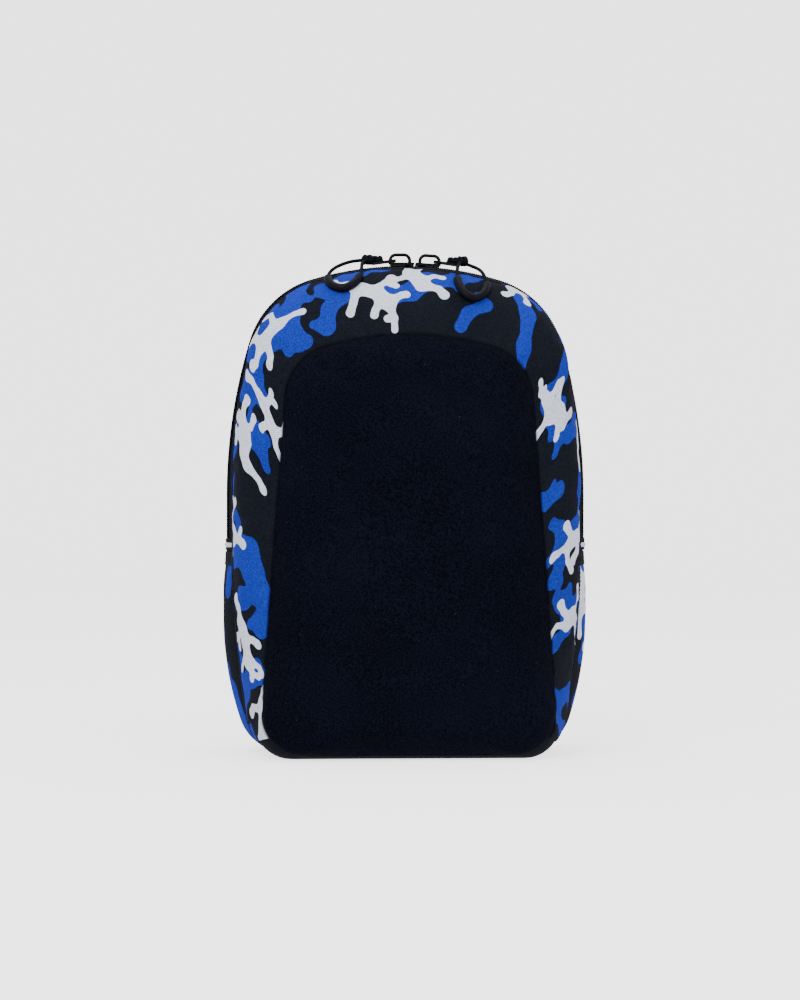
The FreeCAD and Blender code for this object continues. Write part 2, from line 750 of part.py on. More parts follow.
def cord_route(side):
    """Points of the loop: its plan is drawn from the knot's middle, its height from the bed below it."""
    bed = crown_bed()
    way = outward[side]
    knot_x = hitch_end_x(side) + way * (PULL_GAP + KNOT_LENGTH / 2)
    axis_z = pull_axis_z(side)
    route = []
    for out, forward, lift in LEFT_LOOP if side == "left" else RIGHT_LOOP:
        x = knot_x + way * out
        y = ZIP_CENTRE_Y - forward
        z = axis_z
        if lift is not None:
            y_low = min(y, ZIP_CENTRE_Y - BED_STEP)
            height = bed_height(bed, x, y_low)
            slope_y = (height - bed_height(bed, x, y_low - BED_STEP)) / BED_STEP
            slope_x = (height - bed_height(bed, x + BED_STEP, y_low)) / BED_STEP
            z = height + lift * math.sqrt(1 + slope_x**2 + slope_y**2)
        route.append(point(round(x, 1), round(y, 1), round(z, 1)))
    return route


def cord_edges(route):
    """The cord's route, each bend as large as the two runs beside it allow."""
    bends = []
    for before, corner, after in zip(route, route[1:], route[2:]):
        coming, going = before - corner, after - corner
        half_turn = (math.pi - coming.getAngle(going)) / 2
        bends.append(BEND_SHARE * min(coming.Length, going.Length) / math.tan(half_turn))
    return rounded_path(route, bends), bends


def pull_cord(side):
    route = cord_route(side)
    edges, bends = cord_edges(route)
    path = Part.Wire(edges)
    bar = pipe(path, CORD_DIAMETER / 2)
    ideal = math.pi * CORD_DIAMETER**2 / 4 * path.Length
    print(side, "cord length", round(path.Length, 1), "bends", [round(b, 1) for b in bends],
          "volume against section times length", round(bar.Volume / ideal, 4))
    print(side, "route", [tuple(p) for p in route])
    return bar


def pull_grip(side):
    """The rubber tube on the lower part of the loop. Each bend of the route adds a run and an arc."""
    edges, _ = cord_edges(cord_route(side))
    first, last = GRIP_BENDS[side]
    path = Part.Wire(edges[2 * first - 2 : 2 * last + 1])
    bore = CORD_DIAMETER / 2 + GRIP_CLEARANCE
    return pipe(path, GRIP_DIAMETER / 2).cut(pipe(path, bore))


# Rear gusset and back
def rear_gusset():
    sections = [
        (gusset_front, gusset_front_y),
        (gusset_middle, (gusset_front_y + back_seam_y) / 2),
        (back_seam, back_seam_y),
    ]
    band = shell(sections, even(0, sections), even(GUSSET_THICKNESS, sections))
    return between_z(band, piping_high_z, BIG)


def back_plate(y0, y1, inset):
    return loft([(back_seam, y0, inset), (back_seam, y1, inset)])


def back_binding():
    sections = [(back_seam, back_seam_y), (back_seam, back_foam_y)]
    half = BINDING_RADIAL / 2
    ring = shell(sections, even(-half, sections), even(half, sections))
    return between_z(ring, 0, BIG)


def back_board():
    inset = PIPING_DEPTH + BOARD_GAP
    plate = back_plate(back_seam_y - BOARD_THICKNESS, back_seam_y, inset)
    return between_z(plate, BASE_FOAM_Z, BIG)


def back_foam():
    plate = back_plate(back_seam_y, back_foam_y, BINDING_RADIAL / 2)
    return between_z(plate, 0, BIG)


def back_cover():
    return between_z(back_plate(back_foam_y, back_face_y, 0), 0, BIG)


def rounded_rectangle(x0, x1, z0, z1, y, corner):
    """A closed wire in a plane of constant Y, with round corners."""
    centres = [(x1 - corner, z0 + corner, -90), (x1 - corner, z1 - corner, 0),
               (x0 + corner, z1 - corner, 90), (x0 + corner, z0 + corner, 180)]

    def rim(cx, cz, degrees):
        angle = math.radians(degrees)
        return point(cx + corner * math.cos(angle), y, cz + corner * math.sin(angle))

    edges = []
    for n, (cx, cz, first) in enumerate(centres):
        edges.append(Part.Arc(rim(cx, cz, first), rim(cx, cz, first + 45), rim(cx, cz, first + 90)).toShape())
        nx, nz, nfirst = centres[(n + 1) % 4]
        edges.append(Part.LineSegment(rim(cx, cz, first + 90), rim(nx, nz, nfirst)).toShape())
    return Part.Wire(edges)


def crowned_pad(x0, x1, z0, z1):
    """A pad on the back with drawn-in sides and a crowned face."""
    wires = [
        rounded_rectangle(x0 + i, x1 - i, z0 + i, z1 - i, back_face_y + PAD_HEIGHT * r, PAD_CORNER - i)
        for r, i in zip(PAD_RISES, PAD_INSETS)
    ]
    return Part.makeLoft(wires, True, False)


# Straps
strap_pivot_y = back_face_y + SEAT_GAP + STRAP_ROOT_RADIUS


def strap_stations():
    """Middle of the strap, its heading in the YZ plane, its width and thickness, from the root down."""
    run = strap_top_z - STRAP_END_Z
    stations = []
    for n in range(STRAP_STEPS + 1):
        t = n / STRAP_STEPS
        x = STRAP_X + (STRAP_LOW_X - STRAP_X) * t**SPLAY_POWER
        z = strap_top_z - run * t
        y = strap_pivot_y + STRAP_BOW * math.sin(math.pi * t**BOW_POWER) + STRAP_END_OUT * t
        if t < 0.5:
            width = STRAP_WIDTH + (STRAP_MID_WIDTH - STRAP_WIDTH) * math.sin(math.pi * t)
        else:
            swell = math.sin(math.pi * t) ** TAPER_POWER
            width = STRAP_END_WIDTH + (STRAP_MID_WIDTH - STRAP_END_WIDTH) * swell
        thick = min(STRAP_THICKNESS, 2 * STRAP_ROOT_RADIUS + STRAP_SWELL * min(t, 1 - t))
        stations.append([point(x, y, z), width, thick])
    return stations


def strap_headings(stations):
    headings = []
    for n in range(len(stations)):
        before = stations[max(n - 1, 0)][0]
        after = stations[min(n + 1, len(stations) - 1)][0]
        headings.append(Vector(0, after.y - before.y, after.z - before.z).normalize())
    return headings


def slab_section(middle, heading, width, thick, offset=0.0):
    """A strap's section across its heading: a rectangle with well rounded edges."""
    side = Vector(1, 0, 0)
    face = side.cross(heading).normalize() * -1
    centre = middle + face * offset
    corner = thick * STRAP_EDGE
    spots = [(width / 2 - corner, -thick / 2 + corner, -90), (width / 2 - corner, thick / 2 - corner, 0),
             (-width / 2 + corner, thick / 2 - corner, 90), (-width / 2 + corner, -thick / 2 + corner, 180)]

    def rim(across, out, degrees):
        angle = math.radians(degrees)
        return centre + side * (across + corner * math.cos(angle)) + face * (out + corner * math.sin(angle))

    edges = []
    for n, (a, o, first) in enumerate(spots):
        edges.append(Part.Arc(rim(a, o, first), rim(a, o, first + 45), rim(a, o, first + 90)).toShape())
        na, no, nfirst = spots[(n + 1) % 4]
        edges.append(Part.LineSegment(rim(a, o, first + 90), rim(na, no, nfirst)).toShape())
    return Part.Wire(edges)


def shoulder_strap():
    stations = strap_stations()
    headings = strap_headings(stations)
    wires = [slab_section(m, h, w, t) for (m, w, t), h in zip(stations, headings)]
    body = Part.makeLoft(wires, True, False)
    root = Part.makeCylinder(
        STRAP_ROOT_RADIUS, STRAP_WIDTH, point(STRAP_X - STRAP_WIDTH / 2, strap_pivot_y, strap_top_z),
        Vector(1, 0, 0),
    )
    return body.fuse(root)


def ribbon(middles, headings, width, thick):
    """A webbing strip through points, ruled from one section to the next."""
    side = Vector(1, 0, 0)
    wires = []
    for middle, heading in zip(middles, headings):
        face = side.cross(heading).normalize() * -1
        spots = [(-1, -1), (1, -1), (1, 1), (-1, 1), (-1, -1)]
        wires.append(
            Part.makePolygon([middle + side * (a * width / 2) + face * (o * thick / 2) for a, o in spots])
        )
    return Part.makeLoft(wires, True, True)


def lower_line():
    """Route of the webbing from the strap's end to the wing, as points and headings."""
    stations = strap_stations()
    end = stations[-1][0]
    heading = strap_headings(stations)[-1]
    lock_low = end + heading * (LOCK_LENGTH + LOCK_BAR)
    wing = point(wing_tip_x(), back_face_y + WING_THICKNESS + WEBBING_THICKNESS / 2, WING_Z)
    return end, heading, lock_low, wing


def wing_tip_x():
    return back_seam.half_width - WING_REACH


def strap_webbing():
    """The strip sewn down the outside of the strap, which holds the ladder lock's top bar."""
    stations = strap_stations()
    headings = strap_headings(stations)
    middles, ways = [], []
    side = Vector(1, 0, 0)
    for n in range(len(stations) // 2, len(stations)):
        middle, _, thick = stations[n]
        face = side.cross(headings[n]).normalize() * -1
        middles.append(middle + face * (thick / 2 + WEBBING_THICKNESS / 2 + SEAM_GAP / 3))
        ways.append(headings[n])
    return ribbon(middles, ways, WEBBING_WIDTH, WEBBING_THICKNESS)


def framed(local, origin, heading):
    """Moves a piece drawn with its length down -Z and its face along Y to a strap's end."""
    angle = math.degrees(math.atan2(heading.y, -heading.z))
    moved = local.copy()
    moved.rotate(Vector(0, 0, 0), Vector(1, 0, 0), angle)
    moved.translate(origin)
    return moved


def ladder_lock():
    end, heading, _, _ = lower_line()
    half = LOCK_WIDTH / 2
    thick = LOCK_THICKNESS / 2
    frame = box(-half, half, -thick, thick, -LOCK_LENGTH, 0)
    upright = [edge for edge in frame.Edges if abs(edge.Vertexes[0].Y - edge.Vertexes[1].Y) > 0.1]
    frame = frame.makeFillet(LOCK_BAR, upright)
    slot = (LOCK_LENGTH - 3 * LOCK_BAR) / 2
    inner = half - LOCK_BAR
    for top in (-LOCK_BAR, -2 * LOCK_BAR - slot):
        frame = frame.cut(box(-inner, inner, -BIG, BIG, top - slot, top))
    return framed(frame, end + heading * SEAM_GAP, heading)


def lower_webbing():
    """From the lock's bottom bar down to the wing, where it is sewn flat."""
    _, heading, lock_low, wing = lower_line()
    straight = Vector(0, 0, -1)
    landing = wing - straight * WING_LAP
    return ribbon([lock_low, landing, wing], [heading, straight, straight], WEBBING_WIDTH, WEBBING_THICKNESS)


def webbing_tail():
    end, heading, lock_low, _ = lower_line()
    start = end + heading * (LOCK_LENGTH / 2) + Vector(0, LOCK_THICKNESS / 2 + WEBBING_THICKNESS, 0)
    middle = start + Vector(0, TAIL_MIDDLE_OUT, -TAIL_LENGTH / 2)
    tip = start + Vector(0, TAIL_END_OUT, -TAIL_LENGTH)
    straight = Vector(0, 0, -1)
    return ribbon([start, middle, tip], [straight] * 3, WEBBING_WIDTH, WEBBING_THICKNESS)


def webbing_wing():
    """A patch sewn into the back's seam, with the end of the webbing on it."""
    half = WEBBING_WIDTH / 2 + WING_MARGIN
    inner, outer = wing_tip_x() - half, wing_tip_x() + half
    top, low = WING_Z + WING_LAP, WING_Z - WING_HEIGHT
    corners = [(BIG, low), (BIG, top), (outer, top), (inner, top), (inner, WING_Z - WING_LAP)]
    wire = Part.makePolygon([point(x, back_face_y, z) for x, z in corners + corners[:1]])
    patch = Part.Face(wire).extrude(Vector(0, WING_THICKNESS, 0))
    return patch.common(back_plate(back_face_y, back_face_y + WING_THICKNESS, WING_INSET))


def strap_yoke():
    front, rear, low = back_face_y, back_face_y + YOKE_THICKNESS, back_top_z - YOKE_HEIGHT
    strip = box(-YOKE_HALF_WIDTH, YOKE_HALF_WIDTH, front, rear, low, BIG)
    return strip.common(back_plate(front, rear, YOKE_INSET))


def haul_handle():
    y = back_face_y + YOKE_THICKNESS + SEAM_GAP + HANDLE_THICKNESS / 2
    low = handle_z - HANDLE_DROP
    corners = [
        point(-HANDLE_HALF_SPAN, y, handle_z),
        point(-HANDLE_HALF_SPAN, y, low),
        point(HANDLE_HALF_SPAN, y, low),
        point(HANDLE_HALF_SPAN, y, handle_z),
    ]
    path = Part.Wire(rounded_path(corners, [HANDLE_BEND] * 2))
    half_w, half_t = HANDLE_WIDTH / 2, HANDLE_THICKNESS / 2
    left = -HANDLE_HALF_SPAN
    section = Part.makePolygon([
        point(left - half_w, y - half_t, handle_z),
        point(left + half_w, y - half_t, handle_z),
        point(left + half_w, y + half_t, handle_z),
        point(left - half_w, y + half_t, handle_z),
        point(left - half_w, y - half_t, handle_z),
    ])
    maker = Part.BRepOffsetAPI.MakePipeShell(path)
    maker.add(section)
    maker.setTransitionMode(0)
    maker.build()
    maker.makeSolid()
    loop = maker.shape()
    for side in (-1, 1):
        start = side * HANDLE_HALF_SPAN - half_w
        loop = loop.fuse(Part.makeCylinder(half_t, HANDLE_WIDTH, point(start, y, handle_z), Vector(1, 0, 0)))
    return loop


def build_front():
    cover, foam = border_layers()
    save(between_z(cover, lid_low_z, BIG), "border_upper")
    save(between_z(foam, lid_low_z, BIG), "border_foam_upper")
    lower = between_z(cover.cut(below_seam), 0, bag_high_z)
    right = right_side(lower)
    save(right, "border_lower_right")
    save(mirrored(right), "border_lower_left")
    save(between_z(foam.cut(below_seam), 0, bag_high_z), "border_foam_lower")
    skin, core = panel_layers()
    save(between_z(skin, lid_low_z, BIG), "front_panel_upper")
    save(between_z(skin, 0, bag_high_z), "front_panel_lower")
    save(between_z(core, lid_low_z, BIG), "front_foam_upper")
    save(between_z(core, 0, bag_high_z), "front_foam_lower")


def build_base_and_sides():
    fabric, foam = base_pieces()
    save(fabric, "base_panel")
    save(foam, "base_foam")
    for name, piece in (
        ("side_wall", side_wall()),
        ("side_pocket", side_pocket()),
        ("pocket_hem", pocket_hem()),
        ("side_piping", side_piping()),
    ):
        save(piece, name + "_right")
        save(mirrored(piece), name + "_left")


def build_zip():
    half_gap = COIL_GAP / 2
    save(tape(front_seam, border_back_y, -1), "zip_tape_front")
    save(tape(gusset_front, gusset_front_y, 1), "zip_tape_rear")
    save(coil(ZIP_CENTRE_Y - half_gap - COIL_HALF, ZIP_CENTRE_Y - half_gap), "zip_coil_front")
    save(coil(ZIP_CENTRE_Y + half_gap, ZIP_CENTRE_Y + half_gap + COIL_HALF), "zip_coil_rear")
    save(zip_stops(), "zip_end_stops")
    for side in outward:
        save(slider(side), "slider_" + side)
        save(metal_tab(side), "pull_tab_" + side)
        save(cord_hitch(side), "cord_hitch_" + side)
        save(pull_knot(side), "pull_knot_" + side)
        save(pull_cord(side), "pull_cord_" + side)
        save(pull_grip(side), "pull_grip_" + side)


def build_back():
    save(rear_gusset(), "rear_gusset")
    save(back_board(), "back_board")
    save(back_foam(), "back_foam")
    save(back_cover(), "back_cover")
    save(back_binding(), "back_binding")
    pad = crowned_pad(PAD_INNER_X, PAD_OUTER_X, PAD_BOTTOM_Z, pad_top_z)
    save(pad, "back_pad_right")
    save(mirrored(pad), "back_pad_left")
    save(crowned_pad(-LUMBAR_HALF_WIDTH, LUMBAR_HALF_WIDTH, LUMBAR_BOTTOM_Z, LUMBAR_TOP_Z), "back_pad_lumbar")
    save(strap_yoke(), "strap_yoke")
    save(haul_handle(), "haul_handle")


def build_straps():
    for name, piece in (
        ("shoulder_strap", shoulder_strap()),
        ("strap_webbing", strap_webbing()),
        ("ladder_lock", ladder_lock()),
        ("lower_webbing", lower_webbing()),
        ("webbing_tail", webbing_tail()),
        ("webbing_wing", webbing_wing()),
    ):
        save(piece, name + "_right")
        save(mirrored(piece), name + "_left")


build_front()
build_base_and_sides()
build_zip()
build_back()
build_straps()
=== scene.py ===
import math
from functools import partial

import bmesh
import bpy
import numpy as np
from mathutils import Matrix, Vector


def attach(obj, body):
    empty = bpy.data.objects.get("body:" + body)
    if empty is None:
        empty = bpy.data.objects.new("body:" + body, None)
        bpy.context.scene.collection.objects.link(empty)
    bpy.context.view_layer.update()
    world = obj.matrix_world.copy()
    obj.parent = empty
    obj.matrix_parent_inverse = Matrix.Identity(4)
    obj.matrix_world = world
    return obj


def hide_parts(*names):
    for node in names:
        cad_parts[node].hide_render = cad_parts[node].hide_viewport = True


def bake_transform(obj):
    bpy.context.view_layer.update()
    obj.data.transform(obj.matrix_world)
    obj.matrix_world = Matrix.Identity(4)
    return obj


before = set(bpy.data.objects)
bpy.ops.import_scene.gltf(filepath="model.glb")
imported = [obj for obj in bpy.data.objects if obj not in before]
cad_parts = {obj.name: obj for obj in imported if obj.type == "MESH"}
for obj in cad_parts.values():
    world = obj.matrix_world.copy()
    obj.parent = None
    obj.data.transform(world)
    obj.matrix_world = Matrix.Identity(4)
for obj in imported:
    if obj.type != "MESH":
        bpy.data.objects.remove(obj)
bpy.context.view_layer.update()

# Lengths in this script are millimetres until a mesh is made.
MM = 0.001

# The zip's crest, the pack's widest outline: half width, height, and the radii of its arcs
ZIP_HALF = 125.0
ZIP_TOP = 340.0
CROWN = 229.0
SHOULDER = 64.0
SIDE = 369.0

# Heights where the outlines change: side to lean, straight waist, and how far the floor sags
LEAN_Z = 180.0
WAIST_Z = 143.0
POCKET_WAIST_Z = 95.0
SAG = 0.6

# Levels from front to back
PANEL_Y = -50.0
ROLL_Y = -33.0
BORDER_Y = -8.0
ZIP_Y = 4.0
GUSSET_Y = 16.0
GUSSET_MIDDLE_Y = 36.5
BACK_Y = 57.0
FACE_Y = 63.0

# Heights of the base's seam, the pockets' mouths and the zip's ends
BASE_SEAM_Z = 7.0
POCKET_TOP_Z = 139.8
GUSSET_END_Z = 147.4
COIL_END_Z = 148.4


def placed(name, data):
    """A new object in the scene."""
    obj = bpy.data.objects.new(name, data)
    bpy.context.scene.collection.objects.link(obj)
    return obj


# Camera at the photograph's angle
def make_camera():
    """Camera 1.6 m in front of the pack, a touch to its side."""
    data = bpy.data.cameras.new("camera")
    data.lens = 82.5
    data.sensor_width = 36.0
    camera = placed("camera", data)
    turn = math.radians(2.5)
    target = Vector((-0.0042, 0.0, 0.1762))
    camera.location = target + Vector((-math.sin(turn), -math.cos(turn), 0)) * 1.6
    camera.rotation_euler = (target - camera.location).to_track_quat("-Z", "Y").to_euler()
    bpy.context.scene.camera = camera


make_camera()


# Node materials, with shader maths written as Python sums
class Value:
    """One socket of a material's nodes."""

    def __init__(self, finish, socket):
        self.finish = finish
        self.socket = socket

    def _math(self, operation, *others):
        inputs = dict(enumerate((self, *others)))
        return self.finish.node("ShaderNodeMath", {"operation": operation}, inputs)

    def __add__(self, other):
        return self._math("ADD", other)

    def __sub__(self, other):
        return self._math("SUBTRACT", other)

    def __rsub__(self, other):
        return self * -1 + other

    def __mul__(self, other):
        return self._math("MULTIPLY", other)

    __radd__ = __add__
    __rmul__ = __mul__

    def less(self, other):
        return self._math("LESS_THAN", other)

    def sin(self):
        return self._math("SINE")

    def maximum(self, other):
        return self._math("MAXIMUM", other)

    def minimum(self, other):
        return self._math("MINIMUM", other)

    def step(self, low, high):
        """0 below low, 1 above high and smooth between them."""
        return self.finish.node("ShaderNodeMapRange", {"interpolation_type": "SMOOTHSTEP"},
                                {"Value": self, "From Min": low, "From Max": high})


def srgb(*rgb):
    """An sRGB colour of 0 to 255 as a linear one."""
    out = []
    for c in rgb:
        c = c / 255
        out.append(c / 12.92 if c <= 0.04045 else ((c + 0.055) / 1.055) ** 2.4)
    return (*out, 1.0)


class Finish:
    """One material. Its coordinates are millimetres, of the object or of the piece's own cloth."""

    def __init__(self, name):
        self.name = name
        self.material = bpy.data.materials.new(name)
        self.material.use_nodes = True
        self.tree = self.material.node_tree
        self.shader = self.tree.nodes["Principled BSDF"]
        self.spaces = {}

    def put(self, socket, value):
        if isinstance(value, Value):
            self.tree.links.new(value.socket, socket)
        else:
            socket.default_value = value

    def node(self, kind, settings, inputs, output=0):
        """A node of that type, its settings made first, then the values or links of its sockets."""
        node = self.tree.nodes.new(kind)
        for key, value in settings.items():
            setattr(node, key, value)
        for key, value in inputs.items():
            self.put(node.inputs[key], value)
        return Value(self, node.outputs[output])

    def space(self, kind):
        if kind not in self.spaces:
            metres = self.node("ShaderNodeTexCoord", {}, {}, "UV" if kind == "cloth" else "Object")
            scale = {0: metres, "Scale": 1 / MM}
            self.spaces[kind] = self.node("ShaderNodeVectorMath", {"operation": "SCALE"}, scale)
        return self.spaces[kind]

    def axes(self, kind):
        return [self.node("ShaderNodeSeparateXYZ", {}, {0: self.space(kind)}, n) for n in range(3)]

    def noise(self, kind, size, detail=2.0, rough=0.5):
        """Noise about 0.5 with features of that size."""
        return self.node("ShaderNodeTexNoise", {}, {
            "Vector": self.space(kind), "Scale": 1.0 / size, "Detail": detail, "Roughness": rough,
        })

    def cells(self, kind, size):
        """Distance to the nearest of scattered points about that far apart."""
        inputs = {"Vector": self.space(kind), "Scale": 1.0 / size}
        return self.node("ShaderNodeTexVoronoi", {}, inputs, "Distance")

    def attribute(self, name):
        return self.node("ShaderNodeAttribute", {"attribute_name": name}, {}, "Fac")

    def mix(self, factor, low, high):
        """A colour between low and high. A Mix node's colours are sockets 6 and 7, its result output 2."""
        return self.node("ShaderNodeMix", {"data_type": "RGBA"}, {0: factor, 6: low, 7: high}, 2)

    def base(self, colour):
        self.put(self.shader.inputs["Base Color"], colour)
        return self

    def rough(self, value):
        self.put(self.shader.inputs["Roughness"], value)
        return self

    def bump(self, height, depth):
        """Height of 0 to 1 that stands depth millimetres tall."""
        inputs = {"Height": height, "Distance": depth * MM, "Strength": 1.0}
        self.put(self.shader.inputs["Normal"], self.node("ShaderNodeBump", {}, inputs))
        return self

    def fixed(self, **values):
        """Constant values of the shader's sockets, named with _ for a space."""
        for key, value in values.items():
            self.shader.inputs[key.replace("_", " ")].default_value = value
        return self


def wave(value, pitch):
    """A wave of 0 to 1 with that pitch."""
    return (value * (2 * math.pi / pitch)).sin() * 0.5 + 0.5


def twill(f, pitch):
    """Diagonal ribs crossed by short floats."""
    s, t, _ = f.axes("cloth")
    return wave(s + t, pitch) * 0.7 + wave(s - t * 0.35, pitch * 0.9) * 0.3


def plain_weave(f, pitch):
    """Threads over and under each other."""
    s, t, _ = f.axes("cloth")
    warp, weft = wave(s, pitch), wave(t, pitch)
    return warp * weft + (1 - warp) * (1 - weft)


def cloth_finish(name, dark, light, weave, pitch, depth,
                 rough=0.88, blotch=40.0, grain=0.5, shine=0.08, lint=0.0):
    """Cloth whose colour wanders from dark to light, its weave and grain in relief, with some lint."""
    f = Finish(name)
    rib = weave(f, pitch)
    wander = f.noise("object", blotch, 3.0)
    fine = f.noise("object", 1.1, 2.0)
    middle = 0.35 + grain / 2
    tone = (wander * 0.4 + rib * 0.3 + fine * grain).step(middle - 0.3, middle + 0.3)
    colour = f.mix(tone, dark, light)
    if lint:
        specks = f.cells("object", 5.5).less(0.05) * f.noise("object", 26.0, 2.0).step(0.52, 0.6)
        colour = f.mix(specks * lint, colour, srgb(96, 100, 114))
    f.base(colour).rough((fine * 0.16 + (rough - 0.08)).minimum(1.0))
    f.bump(rib * 0.75 + fine * 0.4, depth)
    return f.fixed(Specular_IOR_Level=shine)


def camo_finish():
    """Printed cloth: two fields on the points part its colours, and a third paints shade on it beside its
    long sewn edges.
    """
    f = Finish("camo_fabric")
    rib = twill(f, 1.5)
    fine = f.noise("object", 1.1, 2.0)
    wander = f.noise("object", 45.0, 2.0)
    blue = f.attribute("blue").step(-0.2, 0.2)
    white = f.attribute("white").step(-0.2, 0.2)
    tone = (rib * 0.4 + fine * 1.1 + wander * 0.15).step(0.5, 1.15)
    ground = f.mix(tone, srgb(6, 8, 15), srgb(24, 28, 39))
    blues = f.mix(tone, srgb(22, 38, 126), srgb(38, 62, 188))
    whites = f.mix(tone, srgb(188, 197, 220), srgb(240, 244, 254))
    cloth = f.mix(white, f.mix(blue, ground, blues), whites)
    # Painted shade: within 3.2 mm of the cloth's long edges the colour runs to near black, standing in for
    # the shadow in the valleys at the seams
    f.base(f.mix(f.attribute("seam").step(0.0, 3.2), srgb(2, 3, 6), cloth))
    f.rough(fine * 0.15 + 0.8)
    f.bump(rib * 0.75 + fine * 0.4, 0.12)
    return f.fixed(Specular_IOR_Level=0.08)


def webbing_finish(name, dark, light):
    """Ribs along the webbing with short cross floats."""
    f = Finish(name)
    s, t, _ = f.axes("cloth")
    rib = wave(t, 1.6)
    height = rib * 0.6 + wave(s + rib * 0.5, 1.1) * 0.4
    tone = (height * 0.6 + f.noise("object", 1.4, 2.0) * 0.5).step(0.25, 0.9)
    f.base(f.mix(tone, dark, light)).rough(0.78).bump(height, 0.28)
    return f.fixed(Specular_IOR_Level=0.1)


def mesh_finish():
    """Spacer mesh: small open cells in staggered rows, with painted shade in the cells."""
    f = Finish("back_mesh")
    s, t, _ = f.axes("cloth")
    hole = (wave(s + wave(t, 4.2) * 1.05, 2.1) * wave(t, 2.1)).step(0.35, 0.8)
    # Painted shade: the open cells are coloured near black, as the shade down inside them
    tone = (hole * 0.8 + f.noise("object", 30.0, 2.0) * 0.3).minimum(1.0)
    f.base(f.mix(tone, srgb(28, 31, 40), srgb(5, 6, 9))).rough(0.88).bump(1 - hole, 0.35)
    return f.fixed(Specular_IOR_Level=0.1)


def metal_finish():
    """Black painted metal, worn a little to grey."""
    f = Finish("slider_metal")
    wear = f.noise("object", 3.0, 4.0, 0.6)
    f.base(f.mix(wear.step(0.64, 0.78), srgb(6, 7, 11), srgb(30, 32, 38)))
    f.rough(wear * 0.3 + 0.34).bump(f.noise("object", 0.6, 2.0), 0.03)
    return f.fixed(Specular_IOR_Level=0.12)


def moulded_finish(name, dark, light, rough, coat=0.0, shine=0.18):
    """Moulded plastic or rubber with a fine grain."""
    f = Finish(name)
    grain = f.noise("object", 0.5, 3.0)
    f.base(f.mix(f.noise("object", 9.0, 3.0), dark, light))
    f.rough(grain * 0.16 + rough).bump(grain, 0.03)
    return f.fixed(Coat_Weight=coat, Coat_Roughness=0.2, Specular_IOR_Level=shine)


def cord_finish():
    """Round braid: two families of strands round the cord."""
    f = Finish("cord")
    s, t, _ = f.axes("cloth")
    braid = wave(s + t, 1.5).maximum(wave(s - t, 1.5))
    tone = (braid * 0.7 + f.noise("object", 1.2, 2.0) * 0.4).step(0.35, 1.0)
    f.base(f.mix(tone, srgb(5, 7, 12), srgb(19, 22, 31))).rough(0.75).bump(braid, 0.16)
    return f.fixed(Specular_IOR_Level=0.08)


def piping_finish():
    """Reflective tape: fine glass-bead grain."""
    f = Finish("reflective_piping")
    bead = f.noise("object", 0.35, 2.0)
    f.base(f.mix(bead.step(0.3, 0.7), srgb(186, 190, 196), srgb(232, 235, 240)))
    f.rough(bead * 0.2 + 0.3).bump(bead, 0.04)
    return f.fixed(Metallic=0.35, Specular_IOR_Level=0.6)


FINISH = {finish.name: finish for finish in (
    camo_finish(),
    cloth_finish("panel_twill", srgb(1, 2, 6), srgb(15, 17, 32), twill, 0.9, 0.12,
                 rough=0.9, blotch=70.0, grain=1.5, shine=0.04, lint=0.4),
    cloth_finish("pack_fabric", srgb(8, 10, 16), srgb(21, 25, 35), plain_weave, 0.8, 0.12),
    cloth_finish("lining", srgb(52, 56, 66), srgb(84, 89, 100), plain_weave, 0.7, 0.06, rough=0.7),
    cloth_finish("zip_tape", srgb(10, 12, 17), srgb(27, 30, 38), plain_weave, 0.7, 0.1, rough=0.85),
    cloth_finish("strap_fabric", srgb(9, 11, 17), srgb(23, 27, 37), plain_weave, 0.9, 0.14, shine=0.12),
    cloth_finish("thread", srgb(14, 16, 22), srgb(40, 44, 54), plain_weave, 0.5, 0.08,
                 rough=0.6, shine=0.2),
    webbing_finish("binding_tape", srgb(7, 9, 13), srgb(22, 25, 32)),
    webbing_finish("webbing", srgb(7, 9, 13), srgb(25, 28, 36)),
    mesh_finish(),
    cord_finish(),
    piping_finish(),
    metal_finish(),
    moulded_finish("zip_coil", srgb(7, 9, 14), srgb(17, 20, 27), 0.6, shine=0.05),
    moulded_finish("grip_rubber", srgb(5, 7, 14), srgb(10, 13, 22), 0.4, coat=0.04, shine=0.06),
    moulded_finish("buckle_plastic", srgb(10, 11, 14), srgb(24, 26, 31), 0.3),
    moulded_finish("board", srgb(190, 190, 186), srgb(208, 208, 204), 0.5),
)}


def finished(obj, finish, body=None, slot=None, replaces=()):
    """Gives a piece its finish and its body, and hides the nodes that it stands for. Its slot is not used.
    """
    obj.data.materials.clear()
    obj.data.materials.append(FINISH[finish].material)
    obj.data.shade_smooth()
    if body:
        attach(obj, body)
    slot = slot or finish
    if replaces:
        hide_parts(*replaces)
    return obj


def with_lid(obj):
    """Bakes a piece's place into its points."""
    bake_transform(obj)


def mesh_from(name, points, faces, uvs=None):
    """A piece of points in millimetres, with its own cloth coordinates where it has them."""
    data = bpy.data.meshes.new(name)
    data.from_pydata((np.asarray(points, float) * MM).tolist(), [], faces)
    if uvs is not None:
        layer = data.uv_layers.new(name="cloth")
        index = np.zeros(len(data.loops), np.int32)
        data.loops.foreach_get("vertex_index", index)
        layer.data.foreach_set("uv", (np.asarray(uvs, float) * MM)[index].astype(np.float32).ravel())
    data.update()
    return placed(name, data)


def points_of(mesh):
    """The points of a mesh in millimetres."""
    found = np.zeros(len(mesh.vertices) * 3)
    mesh.vertices.foreach_get("co", found)
    return found.reshape(-1, 3) / MM


def unit(vectors):
    return vectors / np.maximum(np.linalg.norm(vectors, axis=-1, keepdims=True), 1e-9)


def hump(count):
    """A row of numbers that rises from 0 to 1 and falls again, as half a wave."""
    return np.sin(np.linspace(0, math.pi, count))


def lengths_along(points):
    """Distance walked along a row of points."""
    steps = np.linalg.norm(np.diff(points, axis=0), axis=1)
    return np.concatenate([[0.0], np.cumsum(steps)])


def read_along(values, along, want):
    """A row of values that stand at some lengths, read at others."""
    return np.stack([np.interp(want, along, column) for column in values.T], -1)


